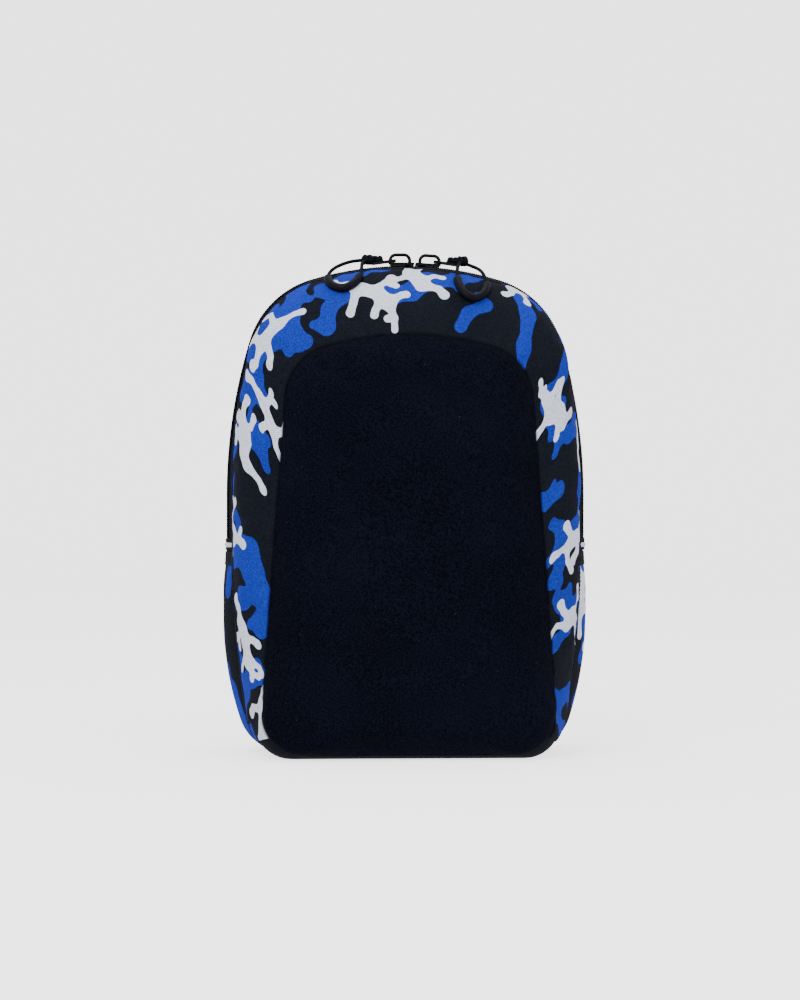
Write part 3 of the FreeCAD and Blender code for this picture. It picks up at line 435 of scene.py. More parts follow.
def evenly(points, count):
    """The same line with its points evenly spaced."""
    along = lengths_along(points)
    return read_along(points, along, np.linspace(0, along[-1], count))


def middle_lengths(grid):
    """Distances walked along a grid's middle column and along its middle row."""
    return lengths_along(grid[:, grid.shape[1] // 2]), lengths_along(grid[grid.shape[0] // 2])


def cloth_uvs(along, across):
    """Cloth coordinates of a grid, from the distances along it and across it."""
    return np.stack(np.meshgrid(along, across, indexing="ij"), -1).reshape(-1, 2)


def quads(nu, nv, wrap_v=False, flip=False):
    """The faces of a grid of nu rows with nv points each, closed round each row with wrap_v."""
    faces = []
    for i in range(nu - 1):
        for j in range(nv if wrap_v else nv - 1):
            k = (j + 1) % nv
            face = (i * nv + j, (i + 1) * nv + j, (i + 1) * nv + k, i * nv + k)
            faces.append(face[::-1] if flip else face)
    return faces


def normals_of(grid):
    return unit(np.cross(np.gradient(grid, axis=0), np.gradient(grid, axis=1)))


def outward_normals(grid, i, j, axis, sign):
    """Normals that point away from the pack at one grid place, and whether they are against du x dv."""
    normal = normals_of(grid)
    flip = normal[i, j, axis] * sign < 0
    return (-normal if flip else normal), flip


def sheet_mesh(name, grid, thick=0.0, flip=False):
    """A cloth of that thickness below the grid, which faces along du x dv, or against it with flip."""
    nu, nv = grid.shape[:2]
    uv = cloth_uvs(*middle_lengths(grid))
    top = quads(nu, nv, flip=flip)
    if not thick:
        return mesh_from(name, grid.reshape(-1, 3), top, uv)
    under = grid - normals_of(grid) * thick * (-1.0 if flip else 1.0)
    points = np.concatenate([grid.reshape(-1, 3), under.reshape(-1, 3)])
    count = nu * nv
    faces = top + [tuple(count + k for k in face[::-1]) for face in top]
    rim = [i * nv for i in range(nu)] + [(nu - 1) * nv + j for j in range(1, nv)]
    rim += [i * nv + nv - 1 for i in range(nu - 2, -1, -1)] + [j for j in range(nv - 2, 0, -1)]
    for a, b in zip(rim, rim[1:] + rim[:1]):
        face = (a, a + count, b + count, b)
        faces.append(face if flip else face[::-1])
    return mesh_from(name, points, faces, np.concatenate([uv, uv]))


def frames_along(path, first_normal):
    """Normal and side at each point of a path, turned as little as possible."""
    tangents = unit(np.gradient(path, axis=0))
    normal = np.array(first_normal if abs(np.dot(first_normal, tangents[0])) <= 0.95 else (0.0, 1.0, 0.0))
    normals = []
    for tangent in tangents:
        normal = unit(normal - tangent * np.dot(normal, tangent))
        normals.append(normal)
    return np.array(normals), np.cross(tangents, normals)


def skin(name, grid, along, around, caps=True, flip=False):
    """A piece through closed rings of points, with its cloth coordinates along it and around it."""
    nu, nv = grid.shape[:2]
    faces = quads(nu, nv, wrap_v=True, flip=flip)
    if caps:
        first, last = tuple(range(nv)), tuple((nu - 1) * nv + j for j in range(nv))
        faces += [first[::-1] if flip else first, last]
    obj = mesh_from(name, grid.reshape(-1, 3), faces, cloth_uvs(along, around))
    face_out(obj)
    return obj


def sweep(name, path, profile, scales=None, first_normal=(0.0, 0.0, 1.0), caps=True):
    """A closed profile of (across, out) points carried along a path."""
    normal, side = frames_along(path, first_normal)
    profile = np.asarray(profile)
    scales = np.ones((len(path), 2)) if scales is None else scales
    grid = (
        path[:, None]
        + side[:, None] * (profile[None, :, 0:1] * scales[:, None, 0:1])
        + normal[:, None] * (profile[None, :, 1:2] * scales[:, None, 1:2])
    )
    around = lengths_along(np.vstack([profile, profile[:1]]))[:-1]
    return skin(name, grid, lengths_along(path), around, caps, flip=True)


def face_out(obj):
    """Turns every face of a closed piece outwards."""
    mesh = bmesh.new()
    mesh.from_mesh(obj.data)
    bmesh.ops.recalc_face_normals(mesh, faces=mesh.faces)
    mesh.to_mesh(obj.data)
    mesh.free()


def circle(radius, count=12):
    turn = np.arange(count) * 2 * math.pi / count
    return np.stack([np.cos(turn), np.sin(turn)], -1) * radius


def add_tube(verts, faces, rings):
    """Adds a tube through rings of points, with its two ends closed."""
    base, count = len(verts), len(rings[0])
    for ring in rings:
        verts.extend(ring)
    for low in range(base, len(verts) - count, count):
        for k in range(count):
            m = (k + 1) % count
            faces.append((low + k, low + m, low + count + m, low + count + k))
    faces.append(tuple(range(base, base + count)))
    faces.append(tuple(range(len(verts) - 1, len(verts) - count - 1, -1)))


def slab(width, thick, rounding=0.45, steps=4):
    """A flat strip's section with rounded edges, as (across, out)."""
    r = thick * rounding
    points = []
    for across, out, first in ((1, -1, -90), (1, 1, 0), (-1, 1, 90), (-1, -1, 180)):
        for k in range(steps + 1):
            a = math.radians(first + 90 * k / steps)
            points.append((
                across * (width / 2 - r) + r * math.cos(a),
                out * (thick / 2 - r) + r * math.sin(a),
            ))
    return points


def joined(name, objects):
    """One piece made of several."""
    for o in bpy.context.selected_objects:
        o.select_set(False)
    for o in objects:
        o.select_set(True)
    bpy.context.view_layer.objects.active = objects[0]
    bpy.ops.object.join()
    objects[0].name = name
    objects[0].select_set(False)
    return objects[0]


def smooth_path(points, count):
    """A Catmull-Rom line through points, evenly spaced."""
    p = np.asarray(points, float)
    p = np.vstack([2 * p[0] - p[1], p, 2 * p[-1] - p[-2]])
    out = []
    for a, b, c, d in zip(p, p[1:], p[2:], p[3:]):
        one, two, three = c - a, 2 * a - 5 * b + 4 * c - d, 3 * b - a - 3 * c + d
        for t in np.linspace(0, 1, 24, endpoint=False):
            out.append(0.5 * (2 * b + one * t + two * t**2 + three * t**3))
    out.append(p[-2])
    return evenly(np.array(out), count)


# Outlines of the pack, as in the CAD: each a row of (x, z) from the middle of the floor to the crown
def arc(centre, start, end, count):
    a = math.atan2(start[1] - centre[1], start[0] - centre[0])
    b = math.atan2(end[1] - centre[1], end[0] - centre[0])
    r = math.dist(centre, start)
    turn = np.linspace(a, b, count)
    return np.stack([centre[0] + r * np.cos(turn), centre[1] + r * np.sin(turn)], -1)


def line(start, end, count):
    """A straight row of points."""
    t = np.linspace(0, 1, count)[:, None]
    return np.array(start) * (1 - t) + np.array(end) * t


def beyond(centre, other, radius):
    """The point at a radius from the centre, toward the other point."""
    reach = math.dist(centre, other)
    return tuple(c + (o - c) * radius / reach for c, o in zip(centre, other))


def arch(in_side, in_top, shoulder, side, waist_z, low, foot, inset=0.0):
    """The pack's outline, drawn in from the zip's crest, with its own radii and waist."""
    width, height = ZIP_HALF - in_side - inset, ZIP_TOP - in_top - inset
    crown, shoulder, side = CROWN - in_top - inset, shoulder - inset, side - inset
    low, foot, floor = low - inset, foot - inset, inset - SAG
    crown_at, side_at = (0.0, height - crown), (width - side, LEAN_Z)
    apart = math.dist(crown_at, side_at)
    along = ((crown - shoulder) ** 2 - (side - shoulder) ** 2 + apart**2) / (2 * apart)
    across = math.sqrt((crown - shoulder) ** 2 - along**2)
    ux, uz = (side_at[0] - crown_at[0]) / apart, (side_at[1] - crown_at[1]) / apart
    shoulder_at = (crown_at[0] + along * ux + across * uz, crown_at[1] + along * uz - across * ux)
    low_at = (width - low, waist_z)
    foot_z = floor + foot
    foot_at = (low_at[0] + math.sqrt((low - foot) ** 2 - (foot_z - waist_z) ** 2), foot_z)
    low_end = beyond(low_at, foot_at, low)
    side_end, crown_start = beyond(side_at, shoulder_at, side), beyond(crown_at, shoulder_at, crown)
    return np.concatenate([
        line((0, floor), (foot_at[0], floor), 30), arc(foot_at, (foot_at[0], floor), low_end, 14),
        arc(low_at, low_end, (width, waist_z), 40), line((width, waist_z), (width, LEAN_Z), 12),
        arc(side_at, (width, LEAN_Z), side_end, 50), arc(shoulder_at, side_end, crown_start, 40),
        arc(crown_at, crown_start, (0, height), 40),
    ])


def tombstone(inset=0.0):
    """The front panel's outline: a foot arc, a straight side that leans in, a shoulder and a wide crown."""
    lean = math.radians(4.27)
    nx, nz = math.cos(lean), math.sin(lean)
    floor_z, crown_r = 3.0, 197.0
    reach = (ZIP_HALF - 23.2) * nx + floor_z * nz - inset
    crown, crown_z = crown_r - inset, ZIP_TOP - 52.3 - crown_r
    shoulder, foot = max(38.0 - inset, 38.0 / 3), max(29.0 - inset, 29.0 / 3)
    floor = floor_z + inset
    out = reach - shoulder - crown_z * nz
    up = math.sqrt((crown - shoulder) ** 2 - out**2)
    shoulder_at = (out * nx - up * nz, crown_z + out * nz + up * nx)
    foot_at = ((reach - foot - (floor + foot) * nz) / nx, floor + foot)

    def on_side(z):
        return ((reach - z * nz) / nx, z)

    foot_end = (foot_at[0] + foot * nx, foot_at[1] + foot * nz)
    side_end = (shoulder_at[0] + shoulder * nx, shoulder_at[1] + shoulder * nz)
    crown_start = beyond((0.0, crown_z), shoulder_at, crown)
    return np.concatenate([
        line((0, floor), (foot_at[0], floor), 30), arc(foot_at, (foot_at[0], floor), foot_end, 14),
        line(foot_end, on_side(WAIST_Z), 40), line(on_side(WAIST_Z), on_side(LEAN_Z), 12),
        line(on_side(LEAN_Z), side_end, 50), arc(shoulder_at, side_end, crown_start, 40),
        arc((0.0, crown_z), crown_start, (0, crown_z + crown), 40),
    ])


# Waist height, flank and foot radii of the outlines in front of the zip and behind it
FORE = (WAIST_Z, 700.0, 36.0)
AFT = (POCKET_WAIST_Z, 230.0, 34.0)

front_seam = partial(arch, 4.2, 2.4, SHOULDER, SIDE, *FORE)
roll = partial(arch, 12.5, 17.5, SHOULDER - 12.5, 2 * SIDE, WAIST_Z, 900.0, 24.0)
zip_crest = partial(arch, 0.0, 0.0, SHOULDER, SIDE, *FORE)
gusset_front = partial(arch, 3.4, 2.4, SHOULDER, SIDE, *FORE)
gusset_middle = partial(arch, 6.2, 6.2, SHOULDER, SIDE, *AFT)
back_seam = partial(arch, 12.0, 13.0, SHOULDER - 6.0, SIDE, *AFT)
pocket_crest = partial(arch, -2.6, 2.4, SHOULDER, SIDE, *AFT)
pocket_rear = partial(arch, 0.8, 2.4, SHOULDER, SIDE, *AFT)

# Points of every outline: the middles of its foot arc and of its shoulder arc, and one on its flank
CORNERS = (37, 166)
FLANK = 110


def through(sections, insets, share):
    """The outline at a share of the way through the sections, as a level and its row of points."""
    rows = [shape(i) for (shape, _), i in zip(sections, insets)]
    levels = [y for _, y in sections]
    reach = [0.0]
    for n in range(1, len(levels)):
        crown = rows[n][-1] - rows[n - 1][-1]
        flank = rows[n][FLANK] - rows[n - 1][FLANK]
        out = (np.hypot(*crown) + np.hypot(*flank)) / 2
        reach.append(reach[-1] + math.hypot(levels[n] - levels[n - 1], out))
    at = [r / reach[-1] for r in reach]
    level, row = 0.0, 0.0
    for i, a in enumerate(at):
        weight = 1.0
        for j, b in enumerate(at):
            if j != i:
                weight *= (share - b) / (a - b)
        level += weight * levels[i]
        row = row + weight * rows[i]
    return level, row


def seam_z(y):
    """Height of the base's seam."""
    return float(np.interp(y, [PANEL_Y, BORDER_Y], [15.5, BASE_SEAM_Z]))


def crossing(row, z):
    """Where a half outline first rises past a height: the index of the next point, and the place itself."""
    above = int(np.argmax(row[:, 1] > z))
    a, b = row[above - 1], row[above]
    return above, a + (b - a) * (z - a[1]) / (b[1] - a[1])


def upper_part(row, z, count):
    """The part of a half outline above z, evenly spaced, from there to the crown."""
    above, start = crossing(row, z)
    return evenly(np.vstack([start, row[above:]]), count)


def between_heights(row, z0, z1, count):
    along = upper_part(row, z0, 600)
    above, end = crossing(along, z1)
    return evenly(np.vstack([along[:above], end]), count)


def over_the_top(half):
    """Both sides of a half outline, from its right end over the crown to its left end."""
    return np.vstack([half, half[::-1][1:] * (-1, 1)])


def at_level(row, y):
    return np.insert(row, 1, y, axis=1)


FRONT = [(front_seam, BORDER_Y), (roll, ROLL_Y), (tombstone, PANEL_Y)]
REAR = [(front_seam, BORDER_Y), (pocket_crest, 14.0), (pocket_rear, 36.0), (back_seam, BACK_Y)]
GUSSET = [(gusset_front, GUSSET_Y), (gusset_middle, GUSSET_MIDDLE_Y), (back_seam, BACK_Y)]


def lofted(sections, insets, shares, row_at):
    """A grid across sections: at each share of the way, what row_at makes of the outline and its level."""
    lines = []
    for share in shares:
        y, row = through(sections, insets, share)
        lines.append(at_level(row_at(row, y), y))
    return np.stack(lines, axis=1)


def ring_grid(sections, insets, rows, half_count, low_at):
    """A grid over the crown from right to left, above the height that low_at gives for a level."""
    def row_at(row, y):
        return over_the_top(upper_part(row, low_at(y), half_count))

    return lofted(sections, insets, np.linspace(0, 1, rows), row_at)


# Cloth under pressure, and the small gathers beside seams
def swell(grid, step_u, step_v, pressure, cap, flip=False, seed=0):
    """Pressure on a coarse copy of the grid whose edges are sewn, and its swelling carried back."""
    iu = np.unique(np.append(np.arange(0, grid.shape[0], step_u), grid.shape[0] - 1))
    iv = np.unique(np.append(np.arange(0, grid.shape[1], step_v), grid.shape[1] - 1))
    coarse = grid[np.ix_(iu, iv)]
    edge = np.zeros(coarse.shape[:2], bool)
    edge[:, 0] = edge[:, -1] = edge[0] = edge[-1] = True
    points = coarse.reshape(-1, 3)
    faces = quads(len(iu), len(iv), flip=flip)
    moved = inflate(points, faces, np.flatnonzero(edge.ravel()), pressure, cap, seed)
    change = (moved - points).reshape(coarse.shape)
    full = np.zeros_like(grid)
    rows, columns = np.arange(grid.shape[0]), np.arange(grid.shape[1])
    for k in range(3):
        full[..., k] = read_along(read_along(change[..., k], iu, rows).T, iv, columns).T
    for axis, width in ((0, step_u), (1, step_v)):
        full = blur(full, width, axis)
    return grid + full


def blur(values, width, axis):
    """A running mean along an axis."""
    kernel = np.ones(width) / width

    def mean(row):
        return np.convolve(np.pad(row, width, mode="edge"), kernel, "same")[width:-width]

    return np.apply_along_axis(mean, axis, values)


def pucker(grid, normal, depth, reach, pitch, seed, edges=(True, True)):
    """Small gathers of the cloth beside its sewn edges."""
    along, across = middle_lengths(grid)
    rng = np.random.default_rng(seed)
    wobble = np.zeros(len(along))
    for _ in range(5):
        p = pitch * rng.uniform(0.7, 1.9)
        wobble += np.sin(along * 2 * math.pi / p + rng.uniform(0, 6.28)) * rng.uniform(0.4, 1.0)
    strength = np.interp(along, np.linspace(0, along[-1], 24), rng.uniform(0.15, 1.0, 24))
    amount = np.zeros(grid.shape[:2])
    for edge, on in zip((across, across[-1] - across), edges):
        if on:
            fade = (edge / reach) * np.exp(1 - edge / reach) * np.exp(-edge / (2.5 * reach))
            amount += fade[None, :] * (wobble * strength)[:, None]
    return grid + normal * (amount * depth / 2.5)[..., None]


# Camouflage: distances to rounded shapes on the cloth, made here and kept on the points
def capsule_distance(s, t, a, b, ra, rb):
    """Distance to a rounded bar between two places, with a radius at each."""
    px, py = s - a[0], t - a[1]
    bx, by = b[0] - a[0], b[1] - a[1]
    h = np.clip((px * bx + py * by) / max(bx * bx + by * by, 1e-9), 0, 1)
    return np.hypot(px - bx * h, py - by * h) - (ra + (rb - ra) * h)


def soft_union(one, two, k):
    """The nearer of two distances, joined softly over k."""
    h = np.clip(0.5 + 0.5 * (two - one) / k, 0, 1)
    return two * (1 - h) + one * h - k * h * (1 - h)


def heading_of(angle):
    return np.array([math.cos(angle), math.sin(angle)])


def stream(rng, start, heading, bends, thin, thick):
    """A wandering patch: capsules one after the other, with a side lobe here and there.

    Each part is its start, its end, the radius at each and how softly it joins the others.
    """
    parts = []
    here, radius = start, rng.uniform(thin, thick)
    for _ in range(bends):
        heading += rng.uniform(-0.95, 0.95)
        there = here + heading_of(heading) * rng.uniform(9, 15)
        after = rng.uniform(thin, thick)
        parts.append((here, there, radius, after, 5.0))
        if rng.random() < 0.45:
            side = heading + rng.choice([-1, 1]) * rng.uniform(1.1, 1.9)
            lobe = there + heading_of(side) * rng.uniform(7, 12)
            parts.append((there, lobe, after * 0.8, rng.uniform(2.6, 4.2), 5.0))
        here, radius = there, after
    return parts


def finger(rng, root, heading):
    """A bent finger with a round tip, now and then forked."""
    knee = root + heading_of(heading) * rng.uniform(9.0, 14.0)
    heading += rng.uniform(-0.9, 0.9)
    tip = knee + heading_of(heading) * rng.uniform(3.0, 8.5)
    neck = rng.uniform(1.8, 2.7)
    parts = [(root, knee, neck + 1.2, neck, 3.6), (knee, tip, neck, neck + rng.uniform(0.5, 1.5), 1.6)]
    if rng.random() < 0.3:
        fork = knee + heading_of(heading + rng.choice([-1.5, 1.5])) * rng.uniform(5.0, 7.5)
        parts.append((knee, fork, neck, neck + 0.5, 1.8))
    return parts


def coral(rng, start, heading):
    """A light patch: a short bent core with fingers off its ends and off either side in turn."""
    parts = finger(rng, start, heading + math.pi + rng.uniform(-0.6, 0.6))
    here, radius, side = start, rng.uniform(3.8, 6.2), rng.choice([-1, 1])
    for _ in range(rng.integers(2, 4)):
        heading += rng.uniform(-0.7, 0.7)
        there = here + heading_of(heading) * rng.uniform(7.0, 11.0)
        after = rng.uniform(3.6, 6.6)
        parts.append((here, there, radius, after, 4.0))
        parts += finger(rng, (here + there) / 2, heading + side * rng.uniform(1.1, 1.8))
        here, radius, side = there, after, -side
    parts += finger(rng, here, heading + side * rng.uniform(0.9, 1.5))
    parts += finger(rng, here, heading + rng.uniform(-0.5, 0.3) * side)
    return parts


# How far from its parts' ends a patch can reach
PATCH_REACH = 18


def patch_field(s, t, patches, merge):
    """Distance to the nearest patch, below zero inside."""
    field = np.full(s.shape, 1e3)
    for parts in patches:
        ends = np.array([part[:2] for part in parts]).reshape(-1, 2)
        low, high = ends.min(0) - PATCH_REACH, ends.max(0) + PATCH_REACH
        near = (s > low[0]) & (s < high[0]) & (t > low[1]) & (t < high[1])
        one = np.full(near.sum(), 1e3)
        for a, b, ra, rb, blend in parts:
            one = soft_union(one, capsule_distance(s[near], t[near], a, b, ra, rb), blend)
        field[near] = soft_union(field[near], one, merge)
    return field


def camouflage(s, t, length, width, seed):
    """Two fields, below zero inside: wandering patches, and light patches with fingers over them."""
    rng = np.random.default_rng(seed)
    blue, white = [], []
    at = rng.uniform(0, 10)
    while at < length:
        low = rng.uniform(0.0, 0.35) * width
        root = np.array([at, low])
        blue.append(stream(rng, root, rng.uniform(0.3, 1.4), rng.integers(3, 6), 4.0, 7.6))
        if rng.random() < 0.55:
            spot = np.array([at + rng.uniform(8, 20), rng.uniform(0.75, 1.05) * width])
            blue.append(stream(rng, spot, rng.uniform(-2.4, -0.6), 2, 3.4, 6.0))
        at += rng.uniform(23, 33)
    at = rng.uniform(12, 24)
    while at < length:
        middle = np.array([at, rng.uniform(0.1, 0.9) * width])
        white.append(coral(rng, middle, rng.uniform(0, 2 * math.pi)))
        at += rng.uniform(47, 64)
    return patch_field(s, t, blue, 5.0), patch_field(s, t, white, 1.0)


def cloth_places(grid):
    """Places on the cloth in millimetres: along its middle, and across it from that middle."""
    half = grid.shape[1] // 2
    along = lengths_along(grid[:, half])
    across = np.stack([lengths_along(row) - lengths_along(row)[half] for row in grid])
    return np.repeat(along[:, None], grid.shape[1], 1), across


def print_camouflage(obj, grid, seed):
    """Keeps the print's two fields on the points, and the distance to the long edges, which the finish
    turns into painted shade. The inside is bare.
    """
    s, t = cloth_places(grid)
    width = t.max() - t.min()
    blue, white = camouflage(s.ravel(), t.ravel() + width / 2, s.max(), width, seed)
    # Distance to the nearer long edge, for the painted shade along the seams
    seam = np.minimum(t - t[:, :1], t[:, -1:] - t).ravel()
    bare = np.full(seam.shape, -9.0)
    for name, outer, inner in (("blue", -blue, bare), ("white", -white, bare), ("seam", seam, seam)):
        attribute = obj.data.attributes.new(name, "FLOAT", "POINT")
        attribute.data.foreach_set("value", np.concatenate([outer, inner]).astype(np.float32))


# Cords
LEFT_ROUTE = [
    (-27.5, 5.3, 344.2), (-35.5, 5.4, 343.8), (-43.9, 1.0, 341.1), (-50.5, -6.0, 337.2),
    (-54.3, -14.6, 332.5), (-55.1, -23.6, 327.6), (-52.1, -32.0, 322.4), (-44.3, -36.6, 320.0),
    (-36.3, -33.8, 324.3), (-32.1, -26.0, 331.1), (-31.5, -17.5, 335.9), (-31.1, -8.6, 340.1),
    (-29.9, -1.2, 342.4), (-28.1, 2.5, 344.2),
]
RIGHT_ROUTE = [
    (37.9, 5.2, 343.5), (45.1, 4.0, 340.5), (50.1, -3.0, 337.7), (52.7, -11.5, 334.1),
    (53.9, -21.5, 329.2), (54.3, -30.8, 322.9), (50.9, -39.0, 315.8), (43.5, -42.6, 312.9),
    (36.5, -39.6, 318.1), (33.9, -31.5, 326.4), (34.3, -21.6, 333.2), (35.1, -13.2, 337.4),
    (36.5, -5.0, 340.3), (38.5, 2.5, 343.5),
]

# Share of each loop's length where its rubber grip starts and ends
GRIP = {"left": (0.37, 0.72), "right": (0.36, 0.73)}
CORD_RADIUS = 1.25


def cord_curve(name, route):
    """A cord on one smooth spline along its route, and the points that its line passes."""
    data = bpy.data.curves.new(name, "CURVE")
    data.dimensions = "3D"
    spline = data.splines.new("NURBS")
    spline.points.add(len(route) - 1)
    for spot, place in zip(spline.points, route):
        spot.co = (*(c * MM for c in place), 1.0)
    spline.order_u = 3
    spline.use_endpoint_u = True
    spline.resolution_u = 12
    data.bevel_resolution = 4
    obj = placed(name, data)
    line_mesh = bpy.data.meshes.new_from_object(obj)
    points = points_of(line_mesh)
    bpy.data.meshes.remove(line_mesh)
    data.bevel_depth = CORD_RADIUS * MM
    return obj, points


def wound_ring(name, centre, radius, strand, tilt, turn):
    """One turn of cord round the X axis, tilted away from it."""
    angle = np.linspace(0, 2 * math.pi, 41)
    ring = np.stack([tilt * np.cos(angle - turn), np.cos(angle), np.sin(angle)], -1) * radius
    return sweep(name, ring + np.array(centre), circle(strand), caps=False, first_normal=(1, 0, 0))


def knot_piece(name, centre, length, radius, strand, rings, body, node):
    """A tight knot: turns of cord that lean over each other, on the strands that run through it."""
    x, y, z = centre
    pieces = [
        wound_ring(f"{name}_{n}", (x + at * length, y, z), radius - strand, strand, tilt, turn)
        for n, (at, tilt, turn) in enumerate(rings)
    ]
    for n, side in enumerate((-1, 1)):
        beside = y + side * strand * 0.95
        run = line((x - length / 2, beside, z), (x + length / 2, beside, z), 8)
        pieces.append(sweep(f"{name}_run_{n}", run, circle(strand), first_normal=(0, 0, 1)))
    return finished(joined(name, pieces), "cord", body, replaces=(node,))


# Each turn of a knot and of a hitch: its place along the piece, its tilt and where it leans
KNOT_TURNS = ((-0.3, 0.6, 0.4), (-0.05, -0.65, 1.5), (0.12, 0.7, 2.9), (0.34, -0.4, 0.2))
HITCH_TURNS = ((-0.36, 0.4, 0.9), (-0.1, -0.45, 0.0), (0.14, 0.5, 2.2), (0.38, -0.3, 0.7))


def make_pulls():
    """Each zip pull: a cord loop through its tab, with a hitch, a knot and a bent rubber grip."""
    for side, route, knot_x, knot_z, hitch_x in (
        ("left", LEFT_ROUTE, -26.9, 344.25, -20.2), ("right", RIGHT_ROUTE, 39.5, 343.53, 32.8),
    ):
        body = f"pull_{side}"
        cord, points = cord_curve(f"pull_loop_{side}", route)
        cord.data.materials.append(FINISH["cord"].material)
        along = lengths_along(points)
        share, (grip_start, grip_end) = along / along[-1], GRIP[side]
        path = evenly(points[(share > grip_start) & (share < grip_end)], 70)
        to_end = np.minimum(np.linspace(0, 1, 70), np.linspace(1, 0, 70))
        plump = 1 - 0.3 * np.clip(1 - to_end / 0.04, 0, 1) ** 2
        tube = sweep(f"pull_tube_{side}", path, circle(2.95, 24), scales=np.stack([plump, plump], -1))
        finished(tube, "grip_rubber", body, replaces=(f"pull_grip_{side}",))
        knot = knot_piece(f"pull_knot_wound_{side}", (knot_x, 4.0, knot_z), 6.4, 3.7, 1.2, KNOT_TURNS,
                          body, f"pull_knot_{side}")
        knot_piece(f"cord_hitch_wound_{side}", (hitch_x, 4.0, knot_z), 7.4, 3.0, 1.05, HITCH_TURNS,
                   f"tab_{side}", f"cord_hitch_{side}")
        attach(cord, body)
        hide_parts(f"pull_cord_{side}")


make_pulls()


# Border and front panel
def make_border():
    """The puffy border with its print, and the zip's facing stitched along its edge."""
    grid = ring_grid(FRONT, (0, 0, 0), 58, 400, seam_z)
    normal, flip = outward_normals(grid, 400, 28, 2, 1)
    grid = grid + normal * (hump(grid.shape[1]) ** 0.8 * 0.9)[None, :, None]
    grid = swell(grid, 4, 4, 3.0, 2.5, flip=flip, seed=3)
    grid = pucker(grid, normal, 0.55, 4.0, 13.0, 11)
    grid = pucker(grid, normal, 0.45, 12.0, 34.0, 12)
    border = sheet_mesh("camo_border", grid, 1.2, flip=flip)
    print_camouflage(border, grid, 24)
    finished(border, "camo_fabric", replaces=(
        "border_upper", "border_lower_left", "border_lower_right", "border_foam_upper", "border_foam_lower",
    ))
    with_lid(border)
    strip = grid[:, :6] + normal[:, :6] * 0.45
    tape = finished(sheet_mesh("zip_facing", strip, 0.7, flip=flip), "zip_tape", slot="binding_tape")
    with_lid(tape)
    stitch_row("border_stitches", strip[:, 5], normal[:, 5], 3.0, 0.28, start=1.2)


# One stitch along its length: each section's place, size and lift out of the cloth
STITCH_SPOTS = np.array([0.0, 0.12, 0.5, 0.88, 1.0])
STITCH_SIZES = np.array([0.35, 0.85, 1.0, 0.85, 0.35])[:, None]
STITCH_LIFTS = np.array([-0.6, 0.2, 0.55, 0.2, -0.6])[:, None]
HEXAGON = np.arange(6) * math.pi / 3


def stitch_row(name, path, normal, pitch, radius, body=None, start=0.0):
    """Lockstitches: short rounded threads half sunk into the cloth. With no body their place is baked into
    their points.
    """
    along = lengths_along(path)
    lift = (STITCH_LIFTS + STITCH_SIZES * np.sin(HEXAGON))[..., None] * radius
    out = (STITCH_SIZES * np.cos(HEXAGON))[..., None] * radius
    verts, faces = [], []
    for n in range(int((along[-1] - start) / pitch)):
        spots = start + n * pitch + STITCH_SPOTS * pitch * 0.68
        line_points = read_along(path, along, spots)
        up = unit(read_along(unit(normal), along, spots))
        side = np.cross(unit(line_points[-1] - line_points[0]), up)
        add_tube(verts, faces, line_points[:, None] + up[:, None] * lift + side[:, None] * out)
    obj = mesh_from(name, verts, faces, np.zeros((len(verts), 2)))
    face_out(obj)
    finished(obj, "thread", body, slot="binding_tape")
    if not body:
        with_lid(obj)


def half_ring(row, first, second, short, long):
    """A right half outline, evenly spaced from the floor to one corner, to the other and to the top."""
    low, side, top = row[: first + 1], row[first : second + 1], row[second:]
    return np.vstack([evenly(low, short), evenly(side, long)[1:], evenly(top, short)[1:]])


def closed_ring(half, y, middle_x=0.0):
    """The whole ring from the middle of the floor, by the right side, the top and the left side."""
    ring = np.vstack([half, half[::-1][1:-1] * (-1, 1)])
    ring[:, 0] += middle_x
    return at_level(ring, y)


def face_points(ring, short, long, crown, way):
    """A face spanned between the ring's four runs, crowned towards way, and the ring's own places in it."""
    count = len(ring)
    wide = 2 * short - 1
    places = np.full((wide, long), -1)
    places[:, 0] = (np.arange(wide) - (short - 1)) % count
    places[-1, :] = short - 1 + np.arange(long)
    places[:, -1] = short - 1 + long - 1 + (wide - 1 - np.arange(wide))
    places[0, :] = (count - (short - 1) - np.arange(long)) % count
    u, v = np.linspace(0, 1, wide)[:, None, None], np.linspace(0, 1, long)[None, :, None]
    low, high = ring[places[:, 0]][:, None], ring[places[:, -1]][:, None]
    left, right = ring[places[0]][None], ring[places[-1]][None]
    low_corners, high_corners = (
        (1 - u) * left[:, k : k + 1] + u * right[:, k : k + 1] for k in (0, long - 1)
    )
    face = (1 - v) * (low - low_corners) + v * (high - high_corners) + (1 - u) * left + u * right
    rise = (16 * u * (1 - u) * v * (1 - v))[..., 0]
    face[..., 1] += way * crown * rise**2 * (3 - 2 * rise)
    return face, places


def domed_mesh(rings, short, long, crown, way):
    """Points and faces of rings that close in a crowned face, which looks along Y by way."""
    rings = np.array(rings)
    count = rings.shape[1]
    face, places = face_points(rings[-1], short, long, crown, way)
    inner = places < 0
    index = np.where(inner, 0, places + (len(rings) - 1) * count)
    index[inner] = len(rings) * count + np.arange(inner.sum())
    points = np.concatenate([rings.reshape(-1, 3), face[inner]])
    faces = quads(len(rings), count, wrap_v=True)
    across = np.stack([index[:-1, :-1], index[:-1, 1:], index[1:, 1:], index[1:, :-1]], -1)
    faces += [tuple(corners) for corners in across.reshape(-1, 4).tolist()]
    a, b, c = (points[[corners[k] for corners in faces]] for k in range(3))
    if np.cross(b - a, c - b)[:, 1].sum() * way < 0:
        faces = [corners[::-1] for corners in faces]
    return points, faces


